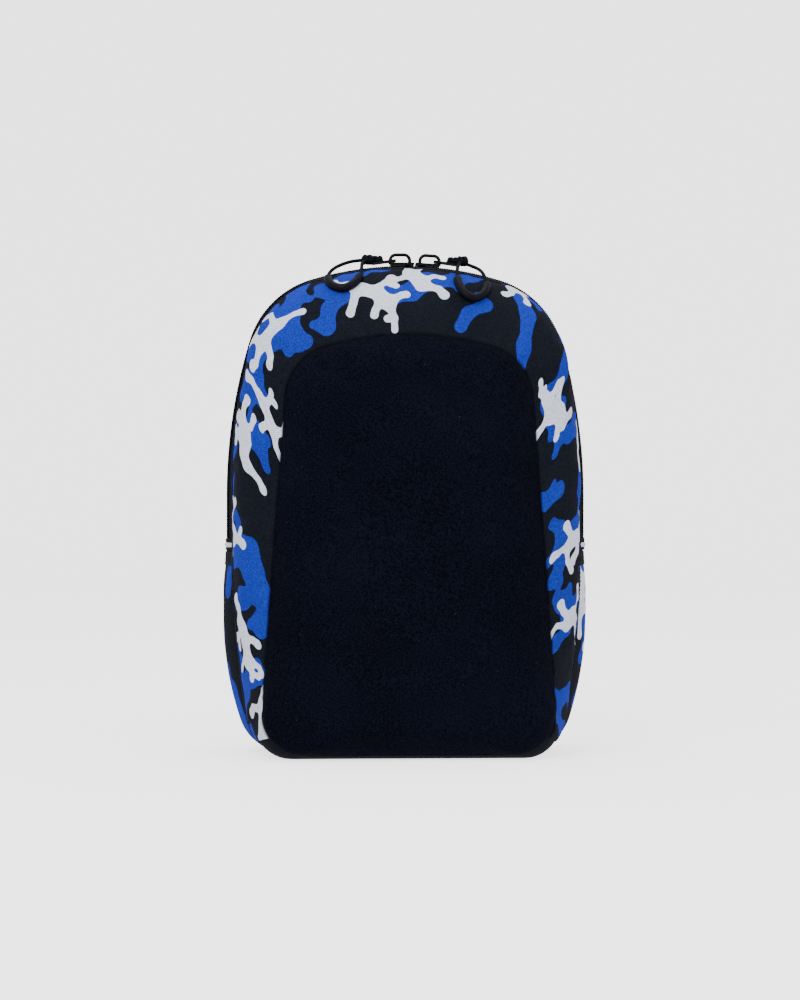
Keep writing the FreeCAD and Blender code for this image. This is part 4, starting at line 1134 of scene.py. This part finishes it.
def subdivided(obj, levels):
    """The piece with that many levels of subdivision applied."""
    smooth = obj.modifiers.new("smooth", "SUBSURF")
    smooth.levels = smooth.render_levels = levels
    bpy.context.view_layer.objects.active = obj
    obj.select_set(True)
    bpy.ops.object.modifier_apply(modifier=smooth.name)
    obj.select_set(False)
    return obj


SEWN_CLOTH = {
    "quality": 6, "mass": 0.25, "air_damping": 2.0, "shrink_min": -0.01, "tension_stiffness": 25.0,
    "compression_stiffness": 25.0, "shear_stiffness": 12.0, "bending_stiffness": 2.0, "use_pressure": True,
    "vertex_group_mass": "sewn",
}
CLOTH_FRAMES = 20


def inflate(points, faces, pinned, pressure, cap, seed):
    """Cloth under pressure, sewn down at the pinned points, each point moved by cap at most."""
    rng = np.random.default_rng(seed)
    obj = mesh_from("cloth_work", points + rng.normal(0, 0.03, points.shape), faces)
    obj.vertex_groups.new(name="sewn").add([int(k) for k in pinned], 1.0, "REPLACE")
    cloth = obj.modifiers.new("cloth", "CLOTH")
    for setting, value in {**SEWN_CLOTH, "uniform_pressure_force": pressure}.items():
        setattr(cloth.settings, setting, value)
    cloth.settings.effector_weights.gravity = 0.0
    cloth.point_cache.frame_start, cloth.point_cache.frame_end = 1, CLOTH_FRAMES
    scene = bpy.context.scene
    for n in range(1, CLOTH_FRAMES + 1):
        scene.frame_set(n)
    moved = obj.evaluated_get(bpy.context.evaluated_depsgraph_get()).to_mesh()
    change = points_of(moved) - points
    scene.frame_set(1)
    bpy.data.objects.remove(obj)
    size = np.linalg.norm(change, axis=-1, keepdims=True)
    return points + change * np.minimum(1.0, cap / np.maximum(size, 1e-9))


# Width of the panel's rounded rim, and how far the panel stands out of its seam
RIM = 22.0
PANEL_DEPTH = 12.5


def panel_rings(count, short, long, outset=0.0, deep=0.0):
    """Rings of the panel's rounded rim, from its seam to its face."""
    rings = []
    for turn in np.linspace(0, math.pi / 2, count):
        half = half_ring(tombstone(outset + RIM * (1 - math.cos(turn))), *CORNERS, short, long)
        rings.append(closed_ring(half, PANEL_Y - (PANEL_DEPTH - deep) * math.sin(turn)))
    return rings


def make_panel():
    """The padded front panel, swollen by its foam and gathered along its seam."""
    rings = panel_rings(10, 26, 48)
    points, faces = domed_mesh(rings, 26, 48, 2.0, -1)
    points = inflate(points, faces, range(len(rings[0])), 3.0, 2.2, 5)
    points = gathered(points, rings[0], 0.5, 7.0, 9)
    obj = subdivided(mesh_from("front_panel_padded", points, faces, points[:, (0, 2)]), 2)
    finished(obj, "panel_twill", replaces=(
        "front_panel_upper", "front_panel_lower", "front_foam_upper", "front_foam_lower",
    ))
    with_lid(obj)


def gathered(points, edge, depth, reach, seed):
    """Small gathers beside a sewn edge, deeper in some places than in others."""
    rng = np.random.default_rng(seed)
    share = lengths_along(edge)
    share /= share[-1]
    wobble = np.zeros(len(share))
    for _ in range(6):
        waves = rng.integers(18, 70)
        wobble += np.sin(share * 2 * math.pi * waves + rng.uniform(0, 6.28)) * rng.uniform(0.3, 1.0)
    wobble *= np.interp(share, np.linspace(0, 1, 28), rng.uniform(0.1, 1.0, 28))
    out = points.copy()
    for n, (x, _, z) in enumerate(points):
        gap = np.hypot(edge[:, 0] - x, edge[:, 2] - z)
        away = gap.min() / reach
        out[n, 1] -= away * math.exp(1 - away) * wobble[gap.argmin()] * depth / 2.5
    return out


make_border()
make_panel()


# Base, side walls, pockets and rear gusset
def base_row(row, z):
    """The part of an outline below z, from its left seam under the floor to its right seam."""
    above, end = crossing(row, z)
    half = evenly(np.vstack([row[:above], end]), 90)
    return np.vstack([half[::-1][:-1] * (-1, 1), half])


def outward_mesh(name, grid, thick, outward_at):
    """A cloth whose outer face looks away from the middle of the pack at one grid place."""
    _, flip = outward_normals(grid, *outward_at)
    return sheet_mesh(name, grid, thick, flip=flip)


def make_base():
    """The base's cloth, from its seam on the front panel under the floor to the back."""
    front = lofted(FRONT, (0, 0, 0), np.linspace(1, 0, 26), lambda row, y: base_row(row, seam_z(y)))
    rear = lofted(REAR, (0, 0, 0, 0), np.linspace(0, 1, 40)[1:], lambda row, y: base_row(row, BASE_SEAM_Z))
    grid = np.concatenate([front, rear], axis=1)
    grid[..., 2] = np.maximum(grid[..., 2], 0.0)
    obj = outward_mesh("base_cloth", grid, 1.5, (90, 20, 2, -1))
    finished(obj, "pack_fabric", "bag", replaces=("base_panel", "base_foam"))


def side_grid(sections, insets, z0, z1, rows, count):
    """A grid on the right flank: up it between two heights, across it through the sections."""
    shares = np.linspace(0, 1, rows)
    return lofted(sections, insets, shares, lambda row, y: between_heights(row, z0, z1, count))


def both_sides(build):
    """Calls build with each side's name and its factors on (x, y, z)."""
    for side, way in (("right", 1), ("left", -1)):
        build(side, np.array([way, 1.0, 1.0]))


def smooth_between(values, low, high):
    """0 below low, 1 above high and smooth between them."""
    share = np.clip((values - low) / (high - low), 0, 1)
    return share**2 * (3 - 2 * share)


def drawn_in(grid, normal):
    """Elastic draws the pocket's mouth in between its two seams."""
    draw = smooth_between(grid[..., 2], 114, 139) * hump(grid.shape[1]) ** 0.5
    return grid - normal * (draw * 2.0)[..., None]


def make_side(side, mirror):
    """One flank: the pocket with its hem, and the pack's wall behind it."""
    way = int(mirror[0])
    cloth = side_grid(REAR, (0, 0, 0, 0), BASE_SEAM_Z, POCKET_TOP_Z, 60, 110)
    normal, _ = outward_normals(cloth, 55, 30, 0, 1)
    cloth = pucker(drawn_in(cloth, normal), normal, 0.5, 9.0, 21.0, 41 + way)
    pocket = outward_mesh(f"side_pocket_cloth_{side}", cloth * mirror, 1.3, (55, 30, 0, way))
    print_camouflage(pocket, cloth, 61 + way)
    finished(pocket, "camo_fabric", "bag", replaces=(f"side_pocket_{side}",))
    cut_area(cloth)

    hem = side_grid(REAR, (-0.5, -0.5, -0.5, -0.5), 131.0, POCKET_TOP_Z + 0.4, 90, 14)
    normal, _ = outward_normals(hem, 7, 45, 0, 1)
    gathers = np.sin(np.linspace(0, 56 * math.pi, 90)) * hump(14)[:, None]
    hem = drawn_in(hem, normal) + normal * (gathers * 0.12)[..., None]
    obj = outward_mesh(f"pocket_hem_band_{side}", hem * mirror, 0.8, (7, 45, 0, way))
    finished(obj, "binding_tape", "bag", replaces=(f"pocket_hem_{side}",))
    stitch_row(f"hem_stitches_{side}", hem[1] * mirror, normal[1] * mirror, 2.8, 0.24, "bag", 1.0)

    wall = side_grid(REAR, (1.6, 6.8, 6.8, 1.6), 14.0, 142.6, 24, 80)
    normal, _ = outward_normals(wall, 40, 12, 0, 1)
    lean = smooth_between(wall[..., 2], 128, 141) * hump(24) ** 0.5
    wall = wall + normal * (lean * 5.0)[..., None]
    obj = outward_mesh(f"side_wall_cloth_{side}", wall * mirror, 2.0, (40, 12, 0, way))
    finished(obj, "pack_fabric", "bag", replaces=(f"side_wall_{side}",))


def cut(grid):
    """Width and length of a cloth as it was cut, in metres, along its middle row and column."""
    along, across = middle_lengths(grid)
    return float(across[-1] * MM), float(along[-1] * MM)


def cut_area(grid):
    """Flat area of the cut, from the areas of its cells, kept within the rectangle that cut states."""
    du, dv = grid[1:, :-1] - grid[:-1, :-1], grid[:-1, 1:] - grid[:-1, :-1]
    area = float(np.linalg.norm(np.cross(du, dv), axis=-1).sum() * MM * MM)
    return min(area, math.prod(cut(grid)))


PIPING = [
    (front_seam, BORDER_Y + 0.3), (zip_crest, ZIP_Y), (gusset_front, GUSSET_Y + 4.8), (back_seam, BACK_Y),
]


def make_piping(side, mirror):
    """A reflective bead between two dark edges, round the flank where the zip ends."""
    for name, z0, z1, stand, bulge, thick, finish in (
        ("bead", 143.4, 146.6, 1.5, 0.9, 4.0, "reflective_piping"),
        ("edge_low", 141.4, 143.4, 0.8, 0.3, 6.0, "binding_tape"),
        ("edge_high", 146.6, 149.6, 0.8, 0.3, 6.0, "binding_tape"),
    ):
        grid = side_grid(PIPING, (-0.3, -stand, -stand, -0.3), z0, z1, 40, 9)
        normal, _ = outward_normals(grid, 4, 20, 0, 1)
        grid = grid + normal * ((hump(9)[:, None] - 1) * bulge)[..., None]
        obj = outward_mesh(f"piping_{name}_{side}", grid * mirror, thick, (4, 20, 0, mirror[0]))
        finished(obj, finish, "bag", slot="reflective_piping", replaces=(f"side_piping_{side}",))


def make_gusset():
    """The rear gusset's cloth, from the zip over the crown to the back."""
    grid = ring_grid(GUSSET, (0, 0, 0), 30, 200, lambda y: GUSSET_END_Z)
    normal, _ = outward_normals(grid, 200, 15, 2, 1)
    grid = grid + normal * (hump(30) * 0.6)[None, :, None]
    grid = pucker(grid, normal, 0.5, 6.0, 19.0, 51)
    obj = outward_mesh("rear_gusset_cloth", grid, 3.0, (200, 15, 2, 1))
    finished(obj, "pack_fabric", "bag", replaces=("rear_gusset",))
    stitch_row("gusset_stitches", grid[:, 2], normal[:, 2], 3.0, 0.26, "bag", 1.0)


make_base()
both_sides(make_side)
both_sides(make_piping)
make_gusset()


# Zip
def tape_grid(seam, y_edge, way):
    """One zip tape, from its seam over its shoulder to the coil."""
    sections = (
        (seam, y_edge, 1.2), (zip_crest, ZIP_Y + way * 5.85, 2.2), (zip_crest, ZIP_Y + way * 0.4, 2.0),
    )
    lines = []
    for (a, ya, ia), (b, yb, ib) in zip(sections, sections[1:]):
        for share in np.linspace(0, 1, 7)[(1 if lines else 0):]:
            row = upper_part(a(ia) * (1 - share) + b(ib) * share, GUSSET_END_Z, 190)
            lines.append(at_level(over_the_top(row), ya + (yb - ya) * share))
    return np.stack(lines, axis=1)


def make_zip():
    """Both tapes with their stitches and coils: the front one opens with the lid."""
    for name, seam, y, way, body in (
        ("front", front_seam, BORDER_Y, -1, "lid"), ("rear", gusset_front, GUSSET_Y, 1, "bag"),
    ):
        grid = tape_grid(seam, y, way)
        normal, flip = outward_normals(grid, 190, 6, 2, 1)
        obj = sheet_mesh(f"zip_tape_cloth_{name}", grid, 0.8, flip=flip)
        finished(obj, "zip_tape", body, replaces=(f"zip_tape_{name}",))
        stitch_row(f"zip_stitches_{name}", grid[:, 6], normal[:, 6], 2.4, 0.2, body, 0.8)
        make_coil(name, way, body)


# Distance between the turns of one row
COIL_PITCH = 1.5
# Each loop's sections, from its root to its head: across the zip, up from the crest, and their radius
COIL_LOOP = (
    (2.75, -0.55, 0.55), (2.6, 0.35, 0.62), (1.6, 0.62, 0.62), (0.4, 0.6, 0.48), (-0.35, 0.25, 0.44),
    (-0.45, -0.35, 0.42),
)


def make_coil(name, way, body):
    """One row of coil: a bent loop of thick thread for each turn, round a core cord."""
    crest = over_the_top(upper_part(zip_crest(1.05), COIL_END_Z, 500))
    along = lengths_along(crest)
    verts, faces, uvs = [], [], []
    for n in range(int(along[-1] / COIL_PITCH)):
        s = (n + (0.5 if way > 0 else 0.0)) * COIL_PITCH + 0.2
        (x, x0, x1), (z, z0, z1) = read_along(crest, along, [s, s - 0.5, s + 0.5]).T
        tangent = unit(np.array([x1 - x0, 0, z1 - z0]))
        out = np.array([tangent[2], 0, -tangent[0]])
        round_it = np.outer(np.cos(HEXAGON), tangent) + np.outer(np.sin(HEXAGON), out)
        rings = []
        for across, up, radius in COIL_LOOP:
            centre = np.array([x, ZIP_Y + way * across, z]) + out * up + tangent * (across - 1.2) * 0.12
            rings.append(centre + round_it * radius)
            uvs += [(s, across)] * len(HEXAGON)
        add_tube(verts, faces, rings)
    obj = mesh_from(f"zip_coil_turns_{name}", verts, faces, uvs)
    face_out(obj)
    finished(obj, "zip_coil", body, replaces=(f"zip_coil_{name}",))
    middle = at_level(over_the_top(upper_part(zip_crest(1.42), COIL_END_Z, 500)), ZIP_Y + way * 1.35)
    core = sweep(f"zip_core_{name}", middle, slab(1.5, 2.6, 0.4), first_normal=(0, 1, 0))
    finished(core, "zip_coil", body)


make_zip()


# Back: cover, binding, pads, yoke and handle
# Height of a pad over the cover, and the level of the yoke's outer face
PAD_HEIGHT = 8.0
YOKE_Y = FACE_Y + 1.4


def backward(count):
    """Normals of a flat row that faces away from the back."""
    return np.tile([0.0, 1.0, 0.0], (count, 1))


def plate_mesh(name, outline, y, way):
    """A flat cloth within an outline, facing along Y by way."""
    ring = closed_ring(half_ring(outline, *CORNERS, 20, 40), y)
    ring[:, 2] = np.maximum(ring[:, 2], 0.0)
    points, faces = domed_mesh([ring], 20, 40, 0.0, way)
    return mesh_from(name, points, faces, points[:, (0, 2)])


def half_rectangle(half_width, low, high, corner):
    """The right half of a rounded rectangle about x = 0, and the places of its two corners' middles."""
    x, c = half_width, corner
    row = np.concatenate([
        line((0, low), (x - c, low), 12), arc((x - c, low + c), (x - c, low), (x, low + c), 13),
        line((x, low + c), (x, high - c), 30), arc((x - c, high - c), (x, high - c), (x - c, high), 13),
        line((x - c, high), (0, high), 12),
    ])
    return row, 12 + 6, 12 + 13 + 30 + 6


def pad_piece(name, x0, x1, z0, z1, node, channels):
    """A crowned pad that draws in at its seam, with sewn channels across it."""
    rings, middle, half_width = [], (x0 + x1) / 2, (x1 - x0) / 2
    for turn in np.linspace(0, math.pi / 2, 8):
        inset = 8.0 * (1 - math.cos(turn))
        row, first, second = half_rectangle(half_width - inset, z0 + inset, z1 - inset, 14.0 - inset)
        level = FACE_Y + 0.15 + PAD_HEIGHT * 0.78 * math.sin(turn) ** 0.8
        rings.append(closed_ring(half_ring(row, first, second, 14, 34), level, middle))
    points, faces = domed_mesh(rings, 14, 34, PAD_HEIGHT * 0.12, 1)
    points = inflate(points, faces, range(len(rings[0])), 3.0, 1.2, 7)
    obj = subdivided(mesh_from(name, points, faces, points[:, (0, 2)]), 2)
    dense = points_of(obj.data)
    to_side = np.clip(np.minimum(dense[:, 0] - x0, x1 - dense[:, 0]) / 7, 0, 1)
    for z in channels:
        groove = np.exp(-(((dense[:, 2] - z) / 2.2) ** 2)) * to_side
        dense[:, 1] -= groove * (dense[:, 1] - FACE_Y) * 0.55
    obj.data.vertices.foreach_set("co", (dense * MM).ravel())
    obj.data.update()
    finished(obj, "back_mesh", "bag", replaces=(node,))
    for n, z in enumerate(channels):
        x = np.linspace(x0 + 6, x1 - 6, 60)
        row = np.stack([x, np.full(60, FACE_Y + PAD_HEIGHT * 0.43), np.full(60, z)], -1)
        stitch_row(f"{name}_channel_{n}", row, backward(60), 3.0, 0.3, "bag")


def make_back():
    """The back's cover with its binding and its pads."""
    cover = plate_mesh("back_cover_cloth", back_seam(0.4), FACE_Y, 1)
    finished(cover, "back_mesh", "bag", replaces=("back_cover", "back_foam"))
    rim = at_level(over_the_top(evenly(back_seam(0.0), 260)), 59.6)
    rim[:, 2] = np.maximum(rim[:, 2], 1.4)
    binding = sweep("back_binding_tape", rim, slab(5.4, 2.8, 0.48), first_normal=(0, 0, -1), caps=False)
    finished(binding, "binding_tape", "bag", replaces=("back_binding",))
    pad_piece("back_pad_mesh_right", 14, 64, 122, 272, "back_pad_right", (160, 197, 234))
    pad_piece("back_pad_mesh_left", -64, -14, 122, 272, "back_pad_left", (160, 197, 234))
    pad_piece("lumbar_pad_mesh", -58, 58, 42, 108, "back_pad_lumbar", (75,))


def make_yoke():
    """The strip that sews on the straps and the handle, up to the back's top edge."""
    top = upper_part(back_seam(1.2), 250, 300)[::-1]
    x = np.linspace(-65, 65, 60)
    edge = np.interp(np.abs(x), top[:, 0], top[:, 1])
    share = np.linspace(0, 1, 8)[None, :]
    z = 316.8 * (1 - share) + edge[:, None] * share
    grid = np.stack([np.repeat(x[:, None], 8, 1), np.full((60, 8), YOKE_Y), z], -1)
    obj = outward_mesh("strap_yoke_tape", grid, 1.3, (30, 4, 1, 1))
    finished(obj, "webbing", "bag", slot="binding_tape", replaces=("strap_yoke",))
    row = np.stack([np.linspace(-63, 63, 80), np.full(80, YOKE_Y), np.full(80, 318.3)], -1)
    stitch_row("yoke_stitches", row, backward(80), 3.0, 0.25, "bag")


def make_handle():
    """A webbing loop: flat legs from the yoke and a grip folded narrower at its lowest part."""
    low, half, bend = 283.0, 14.5, 12.0
    right = np.vstack([
        line((0, low), (half - bend, low), 6),
        arc((half - bend, low + bend), (half - bend, low), (half, low + bend), 14),
        line((half, low + bend), (half, 321.0), 16),
    ])
    path = np.vstack([right[::-1] * (-1, 1), right[1:]])
    path = at_level(evenly(path, 90), YOKE_Y + 2.1)
    share = np.linspace(0, 1, 90)
    folded = 1 - 0.22 * np.clip(1 - np.abs(share - 0.5) / 0.22, 0, 1) ** 0.5
    scales = np.stack([folded, np.ones(90)], -1)
    obj = sweep("haul_handle_webbing", path, slab(8.0, 3.6), scales=scales, first_normal=(0, 1, 0))
    finished(obj, "webbing", "handle", replaces=("haul_handle",))


make_back()
make_yoke()
make_handle()


# Straps
def strap_line(count):
    """Middle line of the strap with its width and thickness, from the root down."""
    t = np.linspace(0, 1, count)
    x = 42.0 + 36.0 * t**1.4
    y = 65.6 + 30.0 * np.sin(math.pi * t**0.75) + 11.0 * t
    z = 313.0 - 185.0 * t
    full = np.maximum(np.sin(math.pi * t), 0)
    width = np.where(t < 0.5, 42.0 + 8.0 * full, 30.0 + 20.0 * full**0.8)
    thick = np.minimum(9.0, np.minimum(4.4 + 26 * t, 4.4 + 26 * (1 - t)))
    return np.stack([x, y, z], -1), width, thick


def strap_faces(path):
    """Direction down the strap and out of its face at each point. Both lean only in the YZ plane."""
    heading = unit(np.gradient(path, axis=0) * (0, 1, 1))
    face = np.cross(heading, np.array([1.0, 0, 0]))
    return heading, (-face if face[len(face) // 2, 1] < 0 else face)


def ribbon_mesh(name, path, out, mirror, widths=20.0, thick=1.4, profile=None):
    """A strip whose width stays along X: a flat webbing, or a section of its own."""
    profile = np.array(slab(1.0, 1.0) if profile is None else profile)
    grid = (
        path[:, None]
        + np.array([1.0, 0, 0]) * (profile[None, :, 0:1] * np.asarray(widths).reshape(-1, 1, 1))
        + out[:, None] * (profile[None, :, 1:2] * np.asarray(thick).reshape(-1, 1, 1))
    )
    return skin(name, grid * mirror, lengths_along(path), profile[:, 0] * float(np.mean(widths)))


def pillow_section(count=64):
    """A padded section: full in the middle, thin where the edges are bound."""
    turn = np.linspace(0, 2 * math.pi, count, endpoint=False)
    c, s = np.cos(turn), np.sin(turn)
    across = np.sign(c) * np.abs(c) ** 0.55 * 0.5
    out = np.sign(s) * np.abs(s) ** 0.62 * 0.5
    return np.stack([across, out], -1)


def make_strap(side, mirror):
    """One shoulder strap: the bound pad, the webbing sewn on its lower half, and what hangs below it."""
    body = f"strap_{side}"
    path, width, thick = strap_line(150)
    heading, face = strap_faces(path)
    pad = ribbon_mesh(f"strap_padded_{side}", path, face, mirror,
                      width - 1.2, thick - 0.4, pillow_section())
    finished(pad, "strap_fabric", body, replaces=(f"shoulder_strap_{side}",))
    half = len(path) // 2
    low_face = face[half:]
    web = path[half:] + low_face * (thick / 2 + 0.75)[half:, None]
    strip = ribbon_mesh(f"strap_webbing_strip_{side}", web, low_face, mirror)
    finished(strip, "webbing", body, replaces=(f"strap_webbing_{side}",))
    for edge, name in ((-1, "in"), (1, "out")):
        rail = path + np.array([1.0, 0, 0]) * (edge * (width / 2 - 1.0))[:, None]
        rail = sweep(f"strap_binding_{side}_{name}", rail * mirror, slab(3.0, 2.2, 0.48),
                     first_normal=(0, 1, 0))
        finished(rail, "binding_tape", body)
        row = (web + np.array([edge * 8.2, 0, 0]) + low_face * 0.7) * mirror
        stitch_row(f"webbing_stitches_{side}_{name}", row, low_face * mirror, 3.2, 0.28, body, 1.5)
    make_tail(side, mirror, path[-1] + heading[-1] * 13.0)
    make_lower_webbing(side, mirror, path[-1] + heading[-1] * 29.4)


def make_tail(side, mirror, lock):
    """The free end of the webbing below the ladder lock, with its hem folded back."""
    start = lock + np.array([0, 3.6, 0])
    path = smooth_path([start, start + (0.2, 3.0, -23.0), start + (0, 1.0, -44.0)], 40)
    strip = ribbon_mesh(f"webbing_tail_strip_{side}", path, backward(40), mirror)
    hem = ribbon_mesh(f"tail_hem_{side}", path[-9:] + (0, 1.5, 0), backward(9), mirror, 20.2, 1.5)
    tail = joined(f"webbing_tail_strip_{side}", [strip, hem])
    finished(tail, "webbing", f"strap_{side}", replaces=(f"webbing_tail_{side}",))


def make_lower_webbing(side, mirror, lock):
    """The webbing from the ladder lock to the wing at the bottom corner."""
    wing = np.array([87.0, 65.7, 50.0])
    path = smooth_path([lock, (lock + wing) / 2 + (0, 0.6, 4.0), wing + (0, 0.2, 12.0), wing], 60)
    obj = ribbon_mesh(f"lower_webbing_strip_{side}", path, backward(60), mirror)
    finished(obj, "webbing", replaces=(f"lower_webbing_{side}",))
    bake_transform(obj)


def make_wing(side, mirror):
    """The cloth wing at a bottom corner, with a boxed cross of stitches over the webbing."""
    outline, rows = back_seam(1.0), []
    for z in np.linspace(16.0, 62.0, 34):
        edge = float(np.interp(z, outline[30:120, 1], outline[30:120, 0]))
        inner = 75.0 if z > 38 else 75.0 + (edge - 75.0) * ((38 - z) / 22.0) * 0.96
        rows.append(np.stack([np.linspace(inner, edge, 20), np.full(20, FACE_Y + 2.0), np.full(20, z)], -1))
    obj = outward_mesh(f"webbing_wing_cloth_{side}", np.stack(rows) * mirror, 1.9, (17, 10, 1, 1))
    finished(obj, "pack_fabric", "bag", slot="webbing", replaces=(f"webbing_wing_{side}",))
    box = [(79, 51), (95, 51), (95, 60.5), (79, 60.5), (79, 51), (95, 60.5)]
    row = evenly(np.array([(x, FACE_Y + 3.45, z) for x, z in box], float), 90)
    stitch_row(f"wing_stitches_{side}", row * mirror, backward(90), 2.6, 0.26, "bag")


both_sides(make_strap)
both_sides(make_wing)


# Linings, seen when the lid is open or down a pocket
def make_linings():
    """Grey cloth inside the border, the panel, the gusset and the back."""
    grid = ring_grid(FRONT, (7.0, 9.0, 13.0), 26, 120, lambda y: 16.5)
    border = outward_mesh("lining_border", grid, 0.0, (120, 12, 2, -1))
    points, faces = domed_mesh(panel_rings(5, 14, 26, 13.0, 6.5), 14, 26, 0.0, 1)
    panel = mesh_from("lining_panel", points, faces, points[:, (0, 2)])
    for obj in (border, panel):
        finished(obj, "lining", slot="pack_fabric")
        with_lid(obj)
    rear = [(gusset_front, GUSSET_Y), (gusset_middle, GUSSET_MIDDLE_Y), (back_seam, 55.0)]
    grid = ring_grid(rear, (3.6, 3.6, 3.9), 16, 120, lambda y: 147.0)
    gusset = outward_mesh("lining_gusset", grid, 0.0, (120, 8, 2, -1))
    back = plate_mesh("lining_back", back_seam(3.3), 55.2, -1)
    for obj in (gusset, back):
        finished(obj, "lining", "bag", slot="pack_fabric")


make_linings()


# Hard CAD pieces that stay, with their finishes
def dress(node, finish):
    """Gives a CAD node its finish in place."""
    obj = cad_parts[node]
    obj.data.materials.clear()
    obj.data.materials.append(FINISH[finish].material)


for side in ("left", "right"):
    dress(f"slider_{side}", "slider_metal")
    dress(f"pull_tab_{side}", "slider_metal")
    dress(f"ladder_lock_{side}", "buckle_plastic")
dress("back_board", "board")
dress("zip_end_stops", "zip_coil")


# Floor and light
def make_stage():
    """A pale round floor that curves up into a wall all round."""
    material = bpy.data.materials.new("backdrop")
    material.use_nodes = True
    sockets = material.node_tree.nodes["Principled BSDF"].inputs
    for name, value in (
        ("Base Color", srgb(240, 240, 240)), ("Emission Color", srgb(255, 255, 255)),
        ("Emission Strength", 1.9), ("Roughness", 0.9), ("Specular IOR Level", 0.1),
    ):
        sockets[name].default_value = value
    flat, curve, height = 3000, 1500, 6000.0
    angles = np.linspace(0, math.pi / 2, 16)
    bend = [(flat + curve * math.sin(a), curve - curve * math.cos(a)) for a in angles]
    radius, level = np.array([(1.0, 0.0), *bend, (flat + curve, height)]).T[..., None]
    turn = np.arange(72) * 2 * math.pi / 72
    grid = np.stack([radius * np.cos(turn), radius * np.sin(turn), np.repeat(level, 72, 1)], -1)
    faces = quads(len(grid), 72, wrap_v=True) + [tuple(range(72))]
    floor = mesh_from("floor", grid.reshape(-1, 3), faces)
    floor.data.shade_smooth()
    floor.data.materials.append(material)
    floor.visible_diffuse = floor.visible_glossy = floor.visible_shadow = False


def area_light(name, at, aim, size, power):
    """A soft light at a place, aimed at another, in metres and watts."""
    data = bpy.data.lights.new(name, "AREA")
    data.shape = "RECTANGLE"
    data.size, data.size_y = size
    data.energy = power
    obj = placed(name, data)
    obj.location = at
    obj.rotation_euler = (Vector(aim) - Vector(at)).to_track_quat("-Z", "Y").to_euler()


make_stage()
world = bpy.data.worlds.new("studio")
bpy.context.scene.world = world
world.use_nodes = True
sky = world.node_tree.nodes["Background"].inputs
sky["Color"].default_value = srgb(255, 255, 255)
sky["Strength"].default_value = 1.12
area_light("key", (-0.9, -1.5, 1.5), (0, 0, 0.2), (1.0, 1.0), 20)
area_light("fill", (1.2, -1.3, 0.9), (0, 0, 0.15), (1.2, 1.2), 7)
area_light("top", (0.0, 0.1, 1.9), (0, 0, 0.2), (1.2, 0.8), 9)
